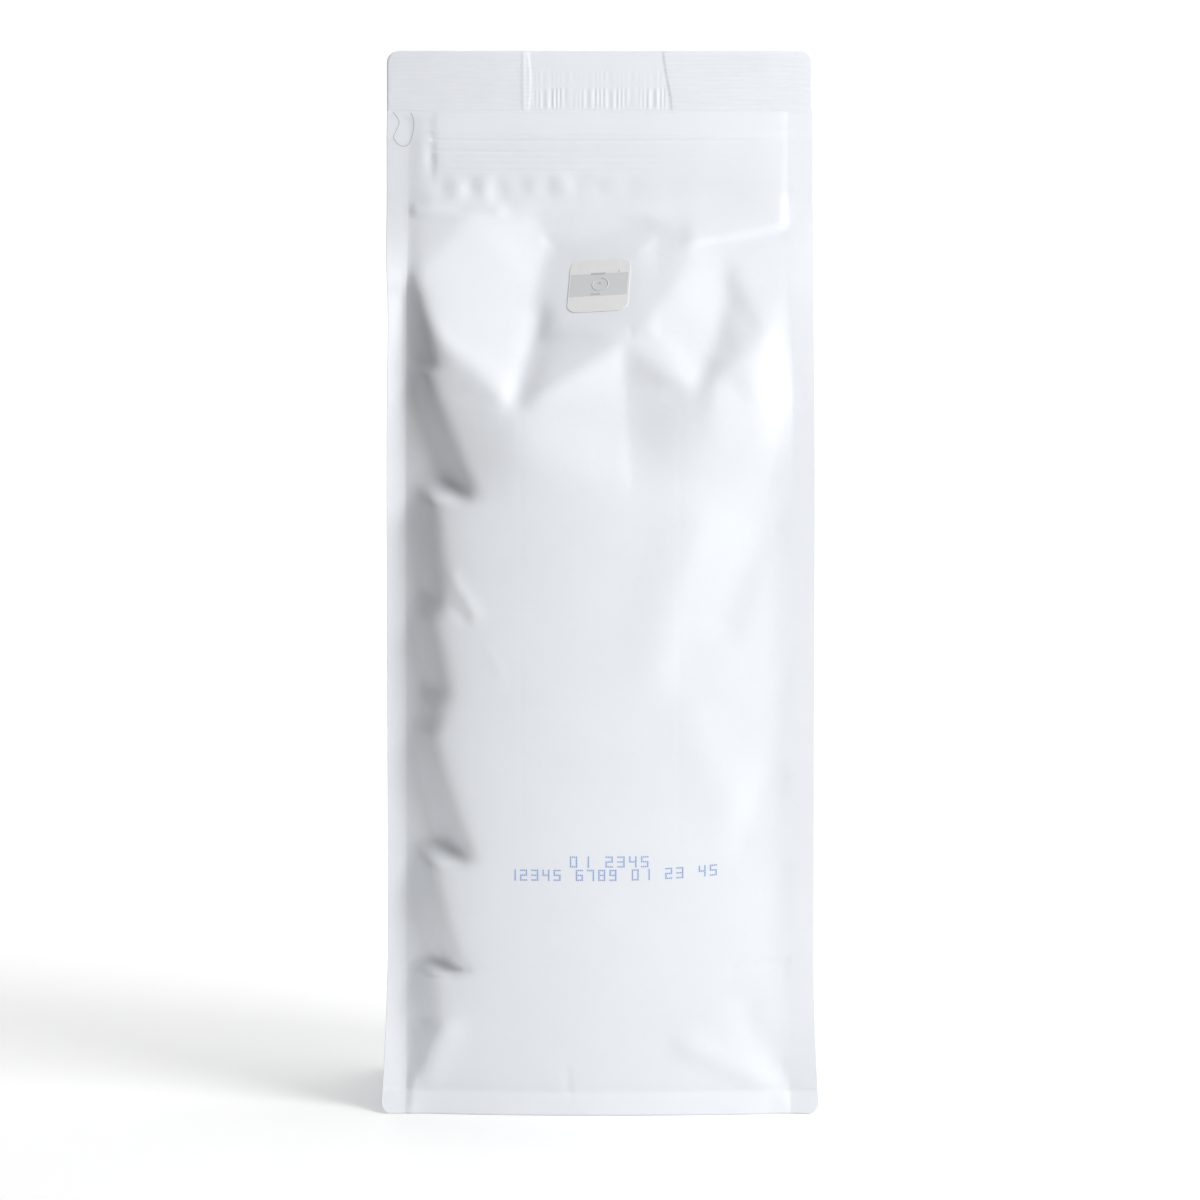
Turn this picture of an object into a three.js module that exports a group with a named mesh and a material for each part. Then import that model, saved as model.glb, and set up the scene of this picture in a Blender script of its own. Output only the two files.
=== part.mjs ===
// A filled and sealed one-kilogram coffee bag of white laminated film, standing on its flat foot, and the
// degassing valve label stuck on its front. Millimetres, +Z up. The valve side faces -Y, and the origin is
// the middle of the foot on the surface that it stands on.
import * as THREE from "three";
import { LoftGeometry } from "three/addons/geometries/LoftGeometry.js";

// The film as it was cut and folded.
const BAG_HEIGHT = 343;
const PANEL_HALF = 62; // from the middle of a panel to the fold beside its sealed edge
const GUSSET_HALF = 47.5; // from that fold to the crease down the middle of a side gusset
const EDGE_THICK = 0.8; // a sealed edge: two layers of film
const CORNER_RADIUS = 4;

// Outline seen from the front: half widths out to the tips of the sealed edges.
const TOP_HALF = 69.8;
const BODY_HALF = 68.6;
const FOOT_HALF = 70.8;
const FOOT_FLARE_HEIGHT = 52;

// Heights of what the side view shows.
const SKIRT_HEIGHT = 7; // sealed rim round the foot
const PRESSED_LINE = 47.5; // where the bag was folded flat before filling
const FILL_LINE = 230; // the beans reach about here
const SHOULDER_TOP = 292; // lower edge of the zipper pocket
const POCKET_TOP = 322;
const SEAL_BOTTOM = 323.5;

// Depths from the middle plane of the bag.
const FACE = 52.5; // a full panel's middle, over the beans
const FOOT_FACE = 48; // the same at the foot
const FACE_SAG = 4; // how much further in a full panel lies beside its folds than in its middle
const SHOULDER_LEAN = 0.81; // how far a panel leans in for each millimetre up above the beans
const SKIRT_FLARE = 3.6;
const POCKET_DEPTH = 4.4;
const SEAL_DEPTH = 0.6;
const FOOT_SPLAY = 12; // how far the sealed edges lean out of the panel's plane at the foot, in degrees
const PLEAT_MOUTH = 1.1; // half the gap between the two sides of a folded-in gusset, high up
const GUSSET_BULGE = 5;

// The valve label.
const LABEL_WIDTH = 20;
const LABEL_TALL = 21.6;
const LABEL_CORNER = 3.3;
const LABEL_THICK = 0.4;
const LABEL_GAP = 0.3;
const LABEL_X = -0.3;
const LABEL_Z = 266;
const LABEL_TURN = THREE.MathUtils.degToRad(4);

// How finely the film is faceted.
const FRONT_COLUMNS = 40;
const BACK_COLUMNS = 16;
const GUSSET_COLUMNS = 8;
const FOLD_BLUR = 2.6; // folds are rounded over about this radius

const { smoothstep, lerp, clamp } = THREE.MathUtils;

// The smaller of two values, rounded over where they cross.
function softMin(a, b, round) {
  return (a + b - Math.hypot(a - b, round)) / 2;
}

// A value given at some heights, straight between them.
function between(knots, z) {
  const next = knots.findIndex(([height]) => height >= z);
  if (next < 0) return knots[knots.length - 1][1];
  if (next === 0) return knots[0][1];
  const [low, from] = knots[next - 1];
  const [high, to] = knots[next];
  return lerp(from, to, (z - low) / (high - low));
}

// The same, rounded a little where the stretches meet.
function along(knots, z) {
  const shifts = [-4, -2, 0, 2, 4];
  return shifts.reduce((sum, shift) => sum + between(knots, z + shift), 0) / shifts.length;
}

// Depth of a full panel's middle: upright over the beans, leaning in above them, thin at the pocket.
function faceDepth(z) {
  const low = lerp(FOOT_FACE, FACE, smoothstep(z, SKIRT_HEIGHT, 62));
  const body = softMin(low, POCKET_DEPTH + SHOULDER_LEAN * (SHOULDER_TOP - z), 10);
  const pocket = lerp(POCKET_DEPTH, SEAL_DEPTH, smoothstep(z, POCKET_TOP - 8, SEAL_BOTTOM));
  return Math.max(body, pocket);
}

// Depth of the fold beside a sealed edge.
function foldDepth(z, panel, side) {
  return Math.max(faceDepth(z) - along(panel.steps[side], z), SEAL_DEPTH);
}

// Half width of the outline at a height, with the four corners of the film rounded.
function outlineHalf(z) {
  const flare = (FOOT_HALF - BODY_HALF) * Math.pow(clamp(1 - z / FOOT_FLARE_HEIGHT, 0, 1), 1.5);
  const spread = (TOP_HALF - BODY_HALF) * smoothstep(z, FILL_LINE + 20, SHOULDER_TOP);
  const fromEnd = Math.min(z, BAG_HEIGHT - z);
  const inset = Math.max(0, CORNER_RADIUS - fromEnd);
  const corner = CORNER_RADIUS - Math.sqrt(CORNER_RADIUS ** 2 - inset ** 2);
  return BODY_HALF + flare + spread - corner;
}

// How much further a sealed edge stands out at a distance past its fold, when it leans by some degrees.
function splay(past, z, degrees) {
  const lean = THREE.MathUtils.degToRad(lerp(FOOT_SPLAY, degrees, smoothstep(z, 0, 40)));
  return past * Math.tan(lean) * (1 - smoothstep(z, SHOULDER_TOP - 28, SHOULDER_TOP));
}

// The rim that flares out round the foot.
function skirt(z) {
  return SKIRT_FLARE * Math.pow(clamp(1 - z / SKIRT_HEIGHT, 0, 1), 1.4);
}

// The two panels as seen from outside each. Of each: where its middle lies, how far each sealed edge leans
// out, how far the fold beside each lies behind the face at some heights, and the pinches along each, where
// the film folds in. A pinch runs down from its top, at its first reach in from the fold, to its last reach
// at its foot, where the film puffs out again over its blend. With a bend of 1 it runs straight, and with
// more it hooks in near its foot.
const pinch = (top, foot, first, last, bend, blend) => ({ top, foot, first, last, bend, blend });
const FRONT = {
  middle: -0.6,
  leans: [18, 8],
  steps: [
    [
      [0, 4], [8, 4.5], [45, 9.5], [70, 12.5], [200, 13.5], [226, 15.5],
      [240, 15], [250, 12], [262, 8], [270, 1.2], [292, 0.8],
    ],
    [
      [0, 4], [60, 4], [215, 4.5], [232, 4], [241, 0.5], [252, -3.6], [264, -4], [276, -2], [292, 0.8],
    ],
  ],
  pinches: [
    [
      pinch(266, 240, 1.5, 7, 1, 2.5),
      pinch(240, 201, 4, 19.5, 1.3, 4.5),
      pinch(201, 164, 6, 9.5, 1.5, 5),
      pinch(164, 135, 5, 11, 1.3, 5),
      pinch(135, 126, 6.5, 8, 1, 4),
      pinch(126, 84.5, 5.5, 18.5, 1.6, 4.5),
      pinch(84.5, 47.5, 5.5, 16, 2, 2.5),
      pinch(47.5, 27, 5, 7, 1, 4),
      pinch(27, 0, 3, 5, 1, 3),
    ],
    [
      pinch(262, 196, 2, 6, 1, 5),
      pinch(196, 144, 2, 7, 1, 5),
      pinch(144, 112, 2, 6.5, 1, 5),
      pinch(112, 82, 2, 8, 1, 5),
      pinch(82, 48, 2, 6, 1, 2),
      pinch(48, 0, 2, 7, 1, 3),
    ],
  ],
};
const BACK = {
  middle: 0.6,
  leans: [16, 22],
  steps: [
    [[0, 4], [8, 4.5], [70, 9.5], [230, 10.5], [262, 6], [292, 0.8]],
    [[0, 4], [8, 4.5], [70, 8.5], [226, 9.5], [266, 6], [292, 0.8]],
  ],
  pinches: [
    [
      pinch(262, 214, 3, 15, 2, 5),
      pinch(214, 150, 3, 15, 2, 5),
      pinch(150, 96, 4, 17, 2, 5),
      pinch(96, 48, 3, 16, 2, 2),
      pinch(48, 0, 3, 9, 1, 3),
    ],
    [
      pinch(268, 222, 3, 12, 2, 5),
      pinch(222, 164, 4, 15, 2, 5),
      pinch(164, 108, 3, 16, 2, 5),
      pinch(108, 48, 4, 16, 2, 2),
      pinch(48, 0, 3, 9, 1, 3),
    ],
  ],
};
const PINCH_TILT = 0.1; // how much further down a pinch is for each millimetre in from the fold

// From 0 at the fold to 1 on the face, sloping from the fold on and steepest at the reach.
function rise(inwards, reach, soft) {
  const curve = (d) => 1 / (1 + Math.exp((reach - d) / soft));
  const start = curve(0);
  return (0.68 * (curve(inwards) - start)) / (1 - start) + 0.32 * (1 - Math.exp(-inwards / 8));
}

// The rise from fold to face through the pinches down one side.
function pinched(inwards, z, pinches) {
  const level = z + PINCH_TILT * inwards;
  return pinches.reduce((sum, { top, foot, first, last, bend, blend }, i) => {
    const down = clamp((top - level) / (top - foot), 0, 1);
    const reach = lerp(first, last, down ** bend);
    const soft = 2 + Math.sin(Math.PI * Math.min(down, 0.85));
    const above = i > 0 ? pinches[i - 1].blend : 1;
    const begins = i > 0 ? 1 - smoothstep(level, top - above, top + above) : 1;
    const ends = i < pinches.length - 1 ? smoothstep(level, foot - blend, foot + blend) : 1;
    return sum + begins * ends * rise(inwards, reach, soft);
  }, 0);
}

// Distance in from the nearer fold of a panel, less than 0 on a sealed edge.
function inFromFold(x, panel) {
  return PANEL_HALF - Math.abs(x - panel.middle);
}

// Depth of a panel, out to the tips of its sealed edges, with the height that its creases add.
function panelDepth(x, z, panel, creases) {
  const inwards = inFromFold(x, panel);
  const side = x < panel.middle ? 0 : 1;
  const fold = foldDepth(z, panel, side) + skirt(z);
  if (inwards < 0) return fold + splay(-inwards, z, panel.leans[side]);
  const upright = 1 - smoothstep(z, FILL_LINE - 28, FILL_LINE + 6);
  const sag = FACE_SAG * ((x - panel.middle) / PANEL_HALF) ** 2 * upright;
  const face = faceDepth(z) + skirt(z) - sag + creases(x, z);
  return lerp(fold, face, pinched(inwards, z, panel.pinches[side]));
}

// Corners of the creased facets of the front's shoulder: across, up, and how far each stands out past the
// leaning face.
const SHOULDER_POINTS = {
  topLeft: [-62.6, 291, 0],
  topCrown: [-42, 289, 1.6],
  topValley: [-20, 289, -0.8],
  topMiddle: [0, 291, 0],
  topSmudge: [19, 288, -1.4],
  topPeak: [30, 284, 1.6],
  topRight: [61.4, 291, 0],
  leftBrow: [-62.6, 266, 0.6],
  leftRidgeHigh: [-50, 250, -2.4],
  leftRidgeLow: [-41, 239, -1.6],
  leftLow: [-62.6, 236, -6],
  valleyHigh: [-18, 276, -4.4],
  valleyMiddle: [-21.5, 262, -7],
  valleyLow: [-23, 248, -7.4],
  valleyEnd: [-26, 238, -4.6],
  peak: [-27, 226.5, -0.4],
  browRidge: [-6, 240, 0.4],
  bridge: [8, 248.6, 1.8],
  spurLow: [16, 256, 2.8],
  spurMiddle: [24, 266, 3.4],
  spurHigh: [30, 276, 3.2],
  hollowHigh: [41, 276, 1.6],
  hollowMiddle: [34, 262, 1.2],
  hollowLow: [33, 248, 0],
  hollowEnd: [33, 238, -1.2],
  crestFold: [61.4, 259, 5.2],
  crestHigh: [53, 250.5, 6.6],
  crestMiddle: [45.5, 244, 4.4],
  crestLow: [38, 238, 2],
  crestEnd: [30, 231, -0.4],
  gullyMiddle: [7, 236, -2.4],
  gullyLow: [6.6, 218, -3],
  gullyFoot: [6.4, 200, 0],
  swellLeft: [-26, 212, 0.6],
  swellRight: [22, 220, -1],
  lowLeftEdge: [-62.6, 204, -2],
  lowLeft: [-34, 200, 0],
  lowRight: [30, 203, 0],
  lowRightEdge: [61.4, 206, 0],
  faceRight: [50, 226, 0.4],
  edgeRight: [61.4, 236, 1.4],
};
const SHOULDER_FACETS = [
  ["topCrown", "topLeft", "leftBrow", "valleyMiddle", "valleyHigh", "topValley"],
  ["leftBrow", "leftRidgeHigh", "valleyLow", "valleyMiddle"],
  ["leftRidgeHigh", "leftRidgeLow", "peak", "valleyEnd", "valleyLow"],
  ["leftBrow", "leftLow", "leftRidgeLow", "leftRidgeHigh"],
  ["leftLow", "lowLeftEdge", "lowLeft", "peak", "leftRidgeLow"],
  ["topValley", "valleyHigh", "topMiddle"],
  ["valleyHigh", "valleyMiddle", "spurMiddle", "topSmudge", "topMiddle"],
  ["valleyMiddle", "valleyLow", "bridge", "spurLow", "spurMiddle"],
  ["valleyLow", "valleyEnd", "browRidge", "bridge"],
  ["valleyEnd", "peak", "browRidge"],
  ["topSmudge", "spurMiddle", "spurHigh", "topPeak"],
  ["topMiddle", "topSmudge", "topPeak", "topRight"],
  ["topPeak", "spurHigh", "hollowHigh", "topRight"],
  ["spurHigh", "spurMiddle", "hollowMiddle", "hollowHigh"],
  ["spurMiddle", "spurLow", "hollowLow", "hollowMiddle"],
  ["spurLow", "bridge", "crestEnd", "hollowEnd", "hollowLow"],
  ["hollowHigh", "hollowMiddle", "crestHigh", "crestFold", "topRight"],
  ["hollowMiddle", "hollowLow", "crestMiddle", "crestHigh"],
  ["hollowLow", "hollowEnd", "crestLow", "crestMiddle"],
  ["hollowEnd", "crestEnd", "crestLow"],
  ["crestFold", "crestHigh", "edgeRight"],
  ["crestHigh", "crestMiddle", "faceRight", "edgeRight"],
  ["crestMiddle", "crestLow", "faceRight"],
  ["crestLow", "crestEnd", "lowRight", "faceRight"],
  ["faceRight", "lowRight", "lowRightEdge", "edgeRight"],
  ["peak", "swellLeft", "gullyLow", "gullyMiddle", "browRidge"],
  ["peak", "lowLeft", "swellLeft"],
  ["swellLeft", "lowLeft", "gullyFoot", "gullyLow"],
  ["browRidge", "gullyMiddle", "bridge"],
  ["crestEnd", "bridge", "gullyMiddle", "gullyLow", "swellRight"],
  ["gullyLow", "gullyFoot", "lowRight", "swellRight"],
  ["swellRight", "lowRight", "crestEnd"],
];

// The facets as triangles in the across-and-up plane, each with its three heights.
function facetTriangles() {
  const corner = ([x, z]) => new THREE.Vector3(x, z, 0);
  return SHOULDER_FACETS.flatMap((names) => {
    const points = names.map((name) => SHOULDER_POINTS[name]);
    return points.slice(2).map((last, i) => {
      const corners = [points[0], points[i + 1], last];
      return {
        flat: new THREE.Triangle(...corners.map(corner)),
        heights: corners.map((point) => point[2]),
      };
    });
  });
}

const FACETS = facetTriangles();
const probe = new THREE.Vector3();
const weights = new THREE.Vector3();

// How far the facets stand out past the leaning face, still sharp.
function facetHeight(x, z) {
  probe.set(x, z, 0);
  const facet = FACETS.find(({ flat }) => flat.containsPoint(probe));
  if (!facet) return 0;
  facet.flat.getBarycoord(probe, weights);
  const [a, b, c] = facet.heights;
  return weights.x * a + weights.y * b + weights.z * c;
}

// The same rounded, as film rounds its creases.
function roundedFacets(x, z) {
  const ring = [0, 1, 2, 3, 4, 5].map((i) => (i * Math.PI) / 3);
  const around = ring.map((a) => facetHeight(x + FOLD_BLUR * Math.cos(a), z + FOLD_BLUR * Math.sin(a)));
  return (2 * facetHeight(x, z) + around.reduce((sum, h) => sum + h, 0)) / (2 + ring.length);
}

// Soft creases on the flat of the front: a ridge, or a valley if its height is less than 0, from one place to
// another, with the widths of its left or upper side and its right or lower side.
const FRONT_CREASES = [
  { from: [33, 198], to: [17, 146], height: 1, flanks: [11, 6] },
  { from: [50, 194], to: [38, 160], height: -0.9, flanks: [6, 5] },
  { from: [30, 122], to: [44, 98], height: 0.8, flanks: [8, 6] },
  { from: [54, 112], to: [46, 88], height: -0.7, flanks: [5, 5] },
  { from: [-65, 4], to: [-51, 25], height: 1.3, flanks: [4, 6] },
  { from: [62, 4], to: [29, 21], height: 0.9, flanks: [5, 5] },
];

function creaseHeight(x, z, { from, to, height, flanks }) {
  const run = new THREE.Vector2(to[0] - from[0], to[1] - from[1]);
  const length = run.length();
  run.divideScalar(length);
  const place = new THREE.Vector2(x - from[0], z - from[1]);
  const down = place.dot(run);
  const aside = place.cross(run);
  const over = Math.abs(down - clamp(down, 0, length));
  const level = Math.abs(run.x) > Math.abs(run.y);
  const first = level ? run.x * aside < 0 : run.y * aside < 0;
  const distance = Math.hypot(aside / flanks[first ? 0 : 1], over / (0.5 * (flanks[0] + flanks[1])));
  return height * Math.exp(-(distance ** 2));
}

function frontCreases(x, z) {
  const creases = FRONT_CREASES.reduce((sum, crease) => sum + creaseHeight(x, z, crease), 0);
  return roundedFacets(x, z) + creases * smoothstep(inFromFold(x, FRONT), 0, 4);
}

function creasedDepth(x, z) {
  return panelDepth(x, z, FRONT, frontCreases);
}

// The flat spot that the valve label is stuck to: its middle depth and its two slopes.
function labelPlane() {
  const reach = LABEL_WIDTH / 2;
  const right = creasedDepth(LABEL_X + reach, LABEL_Z);
  const left = creasedDepth(LABEL_X - reach, LABEL_Z);
  const upper = creasedDepth(LABEL_X, LABEL_Z + reach);
  const lower = creasedDepth(LABEL_X, LABEL_Z - reach);
  return {
    depth: (right + left + upper + lower) / 4,
    across: (right - left) / (2 * reach),
    up: (upper - lower) / (2 * reach),
  };
}

const LABEL_PLANE = labelPlane();

// Depth of the front panel.
function frontDepth(x, z) {
  const dx = x - LABEL_X;
  const dz = z - LABEL_Z;
  const plane = LABEL_PLANE.depth + LABEL_PLANE.across * dx + LABEL_PLANE.up * dz;
  const away = Math.max(Math.abs(dx), Math.abs(dz)) - LABEL_WIDTH / 2;
  return lerp(plane, creasedDepth(x, z), smoothstep(away, 2, 7));
}

// Two soft valleys and a ridge where the back leans in to the pocket.
function backShoulder(x, z) {
  const begins = smoothstep(z, FILL_LINE - 40, FILL_LINE + 8);
  const ends = 1 - smoothstep(z, SHOULDER_TOP - 30, SHOULDER_TOP);
  const inside = smoothstep(inFromFold(x, BACK), 0, 12);
  return 1.8 * begins * ends * inside * (Math.cos((x + 6) / 11) - 1);
}

function backDepth(x, z) {
  return panelDepth(x, z, BACK, backShoulder);
}

// Depth of a gusset's fold behind a sealed edge.
function gussetDepth(z, panel, side) {
  const open = foldDepth(z, panel, side) + skirt(z) - EDGE_THICK;
  const pleat = lerp(PLEAT_MOUTH, SEAL_DEPTH * 0.9, smoothstep(z, POCKET_TOP - 3, SEAL_BOTTOM));
  return Math.max(open, pleat) * (z >= SEAL_BOTTOM ? 0.8 : 1);
}

// How far out a side gusset reaches from the bag's middle, from its folds at share 1, which are at a given
// distance, to its middle crease at share 0. Half is how deep it is from that crease to a fold.
function gussetReach(share, z, fold, half) {
  const taken = Math.sqrt(Math.max(0, GUSSET_HALF ** 2 - half ** 2));
  const foldedIn = taken * smoothstep(z, FILL_LINE - 30, FILL_LINE + 25);
  const sealed = smoothstep(z, POCKET_TOP - 2, SEAL_BOTTOM);
  const full = GUSSET_BULGE * smoothstep(z, 2, 60) * (1 - smoothstep(z, FILL_LINE - 60, FILL_LINE + 10));
  const middle = full * (1 - share ** 2) - foldedIn * (1 - share) * (1 - sealed);
  return lerp(fold + middle, outlineHalf(z), sealed);
}

// Places across a panel between its folds, closer together towards them.
function acrossPanel(panel, columns) {
  return Array.from({ length: columns + 1 }, (_, i) => {
    const t = (2 * i) / columns - 1;
    return panel.middle + PANEL_HALF * (0.62 * t + 0.38 * Math.sin((t * Math.PI) / 2));
  });
}

// The inner corner of a sealed edge's tip, behind its outer corner.
function innerTip(x, z, panel, depthAt) {
  const side = x < panel.middle ? 0 : 1;
  const fold = gussetDepth(z, panel, side);
  const leaning = fold + splay(-inFromFold(x, panel), z, panel.leans[side]);
  const behind = Math.min(depthAt(x, z) - EDGE_THICK, leaning);
  return new THREE.Vector2(x, -Math.max(behind, fold));
}

// One half of a ring: a panel with both its sealed edges, then the gusset after it, which ends at the other
// panel. The other half is the same walk turned round.
function halfRing(z, panel, other, columns, depthAt) {
  const tip = outlineHalf(z);
  const across = [-tip, ...acrossPanel(panel, columns), tip];
  const outside = across.map((x) => new THREE.Vector2(x, -depthAt(x, z)));
  const shares = Array.from({ length: GUSSET_COLUMNS + 1 }, (_, i) => 1 - (2 * i) / GUSSET_COLUMNS);
  const fold = PANEL_HALF + panel.middle + EDGE_THICK / 2;
  const near = gussetDepth(z, panel, 1);
  const far = gussetDepth(z, other, 0);
  const gusset = shares.map((share) => {
    const reach = gussetReach(Math.abs(share), z, fold, (near + far) / 2);
    return new THREE.Vector2(reach, -share * (share > 0 ? near : far));
  });
  const inner = 0.02;
  return [
    innerTip(inner - tip, z, panel, depthAt),
    ...outside,
    innerTip(tip - inner, z, panel, depthAt),
    ...gusset,
  ];
}

function ring(z) {
  const front = halfRing(z, FRONT, BACK, FRONT_COLUMNS, frontDepth);
  const rear = halfRing(z, BACK, FRONT, BACK_COLUMNS, backDepth).map((p) => p.negate());
  return [...front, ...rear].map((p) => new THREE.Vector3(p.x, p.y, z));
}

// Heights of the rings, closer together where the film turns.
function levels() {
  const bands = [
    [0, SKIRT_HEIGHT, 4],
    [SKIRT_HEIGHT, PRESSED_LINE, 7],
    [PRESSED_LINE, 202, 24],
    [202, SHOULDER_TOP, 20],
    [SHOULDER_TOP, POCKET_TOP, 5],
    [POCKET_TOP, SEAL_BOTTOM, 2],
    [SEAL_BOTTOM, BAG_HEIGHT - CORNER_RADIUS, 2],
    [BAG_HEIGHT - CORNER_RADIUS, BAG_HEIGHT, 3],
  ];
  return [0, ...bands.flatMap(([low, high, count]) => spread(low, high, count))];
}

function spread(low, high, count) {
  return Array.from({ length: count }, (_, i) => lerp(low, high, (i + 1) / count));
}

const film = new THREE.MeshStandardMaterial({ color: 0xeef0f3, roughness: 0.42, metalness: 0 });
const labelFilm = new THREE.MeshStandardMaterial({ color: 0xcfd1d2, roughness: 0.3, metalness: 0 });

function makeBag() {
  const skin = new LoftGeometry(levels().map(ring), { capStart: true, capEnd: true });
  const bag = new THREE.Mesh(skin, film);
  bag.name = "bag";
  return bag;
}

function roundedRectangle(width, height, radius) {
  const right = width / 2 - radius;
  const upper = height / 2 - radius;
  const shape = new THREE.Shape();
  shape.moveTo(width / 2, upper);
  shape.absarc(right, upper, radius, 0, Math.PI / 2);
  shape.absarc(-right, upper, radius, Math.PI / 2, Math.PI);
  shape.absarc(-right, -upper, radius, Math.PI, 1.5 * Math.PI);
  shape.absarc(right, -upper, radius, 1.5 * Math.PI, 2 * Math.PI);
  return shape;
}

// The label lies on the flat spot, a hair clear of the film.
function makeLabel() {
  const options = { depth: LABEL_THICK, bevelEnabled: false, curveSegments: 6 };
  const plate = new THREE.ExtrudeGeometry(roundedRectangle(LABEL_WIDTH, LABEL_TALL, LABEL_CORNER), options);
  const label = new THREE.Mesh(plate, labelFilm);
  label.name = "valve_label";
  const { depth, across, up } = LABEL_PLANE;
  const outwards = new THREE.Vector3(-across, -1, -up).normalize();
  const sideways = new THREE.Vector3(1, -across, 0).normalize();
  const upwards = new THREE.Vector3().crossVectors(outwards, sideways);
  label.matrix.makeBasis(sideways, upwards, outwards);
  label.quaternion.setFromRotationMatrix(label.matrix);
  label.rotateZ(LABEL_TURN);
  label.position.set(LABEL_X, -depth, LABEL_Z).addScaledVector(outwards, LABEL_GAP);
  return label;
}

const bagAndValve = new THREE.Group();
bagAndValve.add(makeBag(), makeLabel());

export default bagAndValve;
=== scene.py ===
"""A filled and sealed one-kilogram coffee bag of white laminated film, seen from its valve side."""
import math
from collections import namedtuple

import bmesh
import bpy
import numpy as np
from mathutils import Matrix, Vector


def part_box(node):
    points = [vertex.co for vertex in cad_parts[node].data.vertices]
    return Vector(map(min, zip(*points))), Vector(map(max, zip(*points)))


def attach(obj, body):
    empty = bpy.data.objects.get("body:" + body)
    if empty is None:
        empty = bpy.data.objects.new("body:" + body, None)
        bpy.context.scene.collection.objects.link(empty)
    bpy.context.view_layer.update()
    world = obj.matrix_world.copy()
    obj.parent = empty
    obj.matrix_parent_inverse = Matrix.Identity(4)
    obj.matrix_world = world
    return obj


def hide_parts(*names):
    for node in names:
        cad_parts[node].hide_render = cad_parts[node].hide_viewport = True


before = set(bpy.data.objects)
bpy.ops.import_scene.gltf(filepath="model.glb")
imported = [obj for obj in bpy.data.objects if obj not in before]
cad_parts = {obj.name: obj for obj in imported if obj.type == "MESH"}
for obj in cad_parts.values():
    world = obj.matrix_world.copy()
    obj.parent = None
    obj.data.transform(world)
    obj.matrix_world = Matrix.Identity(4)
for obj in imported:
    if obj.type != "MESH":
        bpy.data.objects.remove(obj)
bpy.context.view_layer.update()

bl_info = {
    "name": "Coffee Bag",
    "version": (1, 0, 0),
    "blender": (4, 5, 0),
    "location": "View3D > Sidebar > Coffee Bag",
    "description": "Dresses a flat-bottom coffee bag with creased film, a pressed seal and a valve label",
    "category": "Object",
}

# Everything below is worked out in millimetres and turned to metres where a mesh is made.
MM = 0.001
BAG_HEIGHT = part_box("bag")[1].z / MM

# The film as it was cut and folded, as in the solid.
PANEL_HALF = 62.0
GUSSET_HALF = 47.5
EDGE_THICK = 0.8
CORNER_RADIUS = 4.0
TOP_HALF = 69.8
BODY_HALF = 68.6
FOOT_HALF = 70.8
FOOT_FLARE_HEIGHT = 52.0

# Heights.
SKIRT_HEIGHT = 7.0
PRESSED_LINE = 47.5
FILL_LINE = 230.0
SHOULDER_TOP = 292.0
POCKET_TOP = 322.0
SEAL_BOTTOM = 323.5

# Depths from the middle plane.
FACE = 52.5
FOOT_FACE = 45.8
FACE_SAG = 4.0
SHOULDER_LEAN = 0.81
SKIRT_FLARE = 6.2
POCKET_DEPTH = 4.4
SEAL_DEPTH = 0.6
FOOT_SPLAY = 12.0
PLEAT_MOUTH = 1.1
GUSSET_BULGE = 5.0
GUSSET_LINE = 0.7
GUSSET_RIPPLE = 0.8
SEAL_OVERLAP = 0.4


def smooth(value, low, high):
    """From 0 at the low value to 1 at the high one, level at both."""
    share = np.clip((value - low) / (high - low), 0, 1)
    return share * share * (3 - 2 * share)


def mix(a, b, share):
    """From a to b by a share."""
    return a + (b - a) * share


def soft_min(a, b, rounding):
    """The lesser of two depths, rounded where they meet."""
    return (a + b - np.hypot(a - b, rounding)) / 2


def soft_max(a, b, rounding):
    """The greater of two depths, rounded where they meet."""
    return (a + b + np.hypot(a - b, rounding)) / 2


def along(knots, z):
    """A value given at some heights, straight between them and rounded a little where they meet."""
    heights, values = zip(*knots)
    return sum(np.interp(z + shift, heights, values) for shift in (-4, -2, 0, 2, 4)) / 5


def face_depth(z):
    """Depth of a full panel's middle: upright over the beans, leaning in above them, thin at the pocket."""
    low = mix(FOOT_FACE, FACE, smooth(z, SKIRT_HEIGHT, 62))
    body = soft_min(low, POCKET_DEPTH + SHOULDER_LEAN * (SHOULDER_TOP - z), 10)
    pocket = mix(POCKET_DEPTH, SEAL_DEPTH, smooth(z, POCKET_TOP - 8, SEAL_BOTTOM))
    return soft_max(body, pocket, 2.4 * (1 - smooth(z, 305, POCKET_TOP)))


# A pinch is where the film folds in beside a sealed edge. It runs down from its top, at its first reach
# in from the fold, to its last reach at its foot, where the film puffs out again over its blend. With a
# bend of 1 it runs straight, and with more it hooks in near its foot.
Pinch = namedtuple("Pinch", "top foot first last bend blend")

# A crease is a soft ridge, or a valley if its height is less than 0, along a path of (across, up) points.
# Its flanks are how wide its left or upper side and its right or lower side are.
Crease = namedtuple("Crease", "path height flanks")

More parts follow.
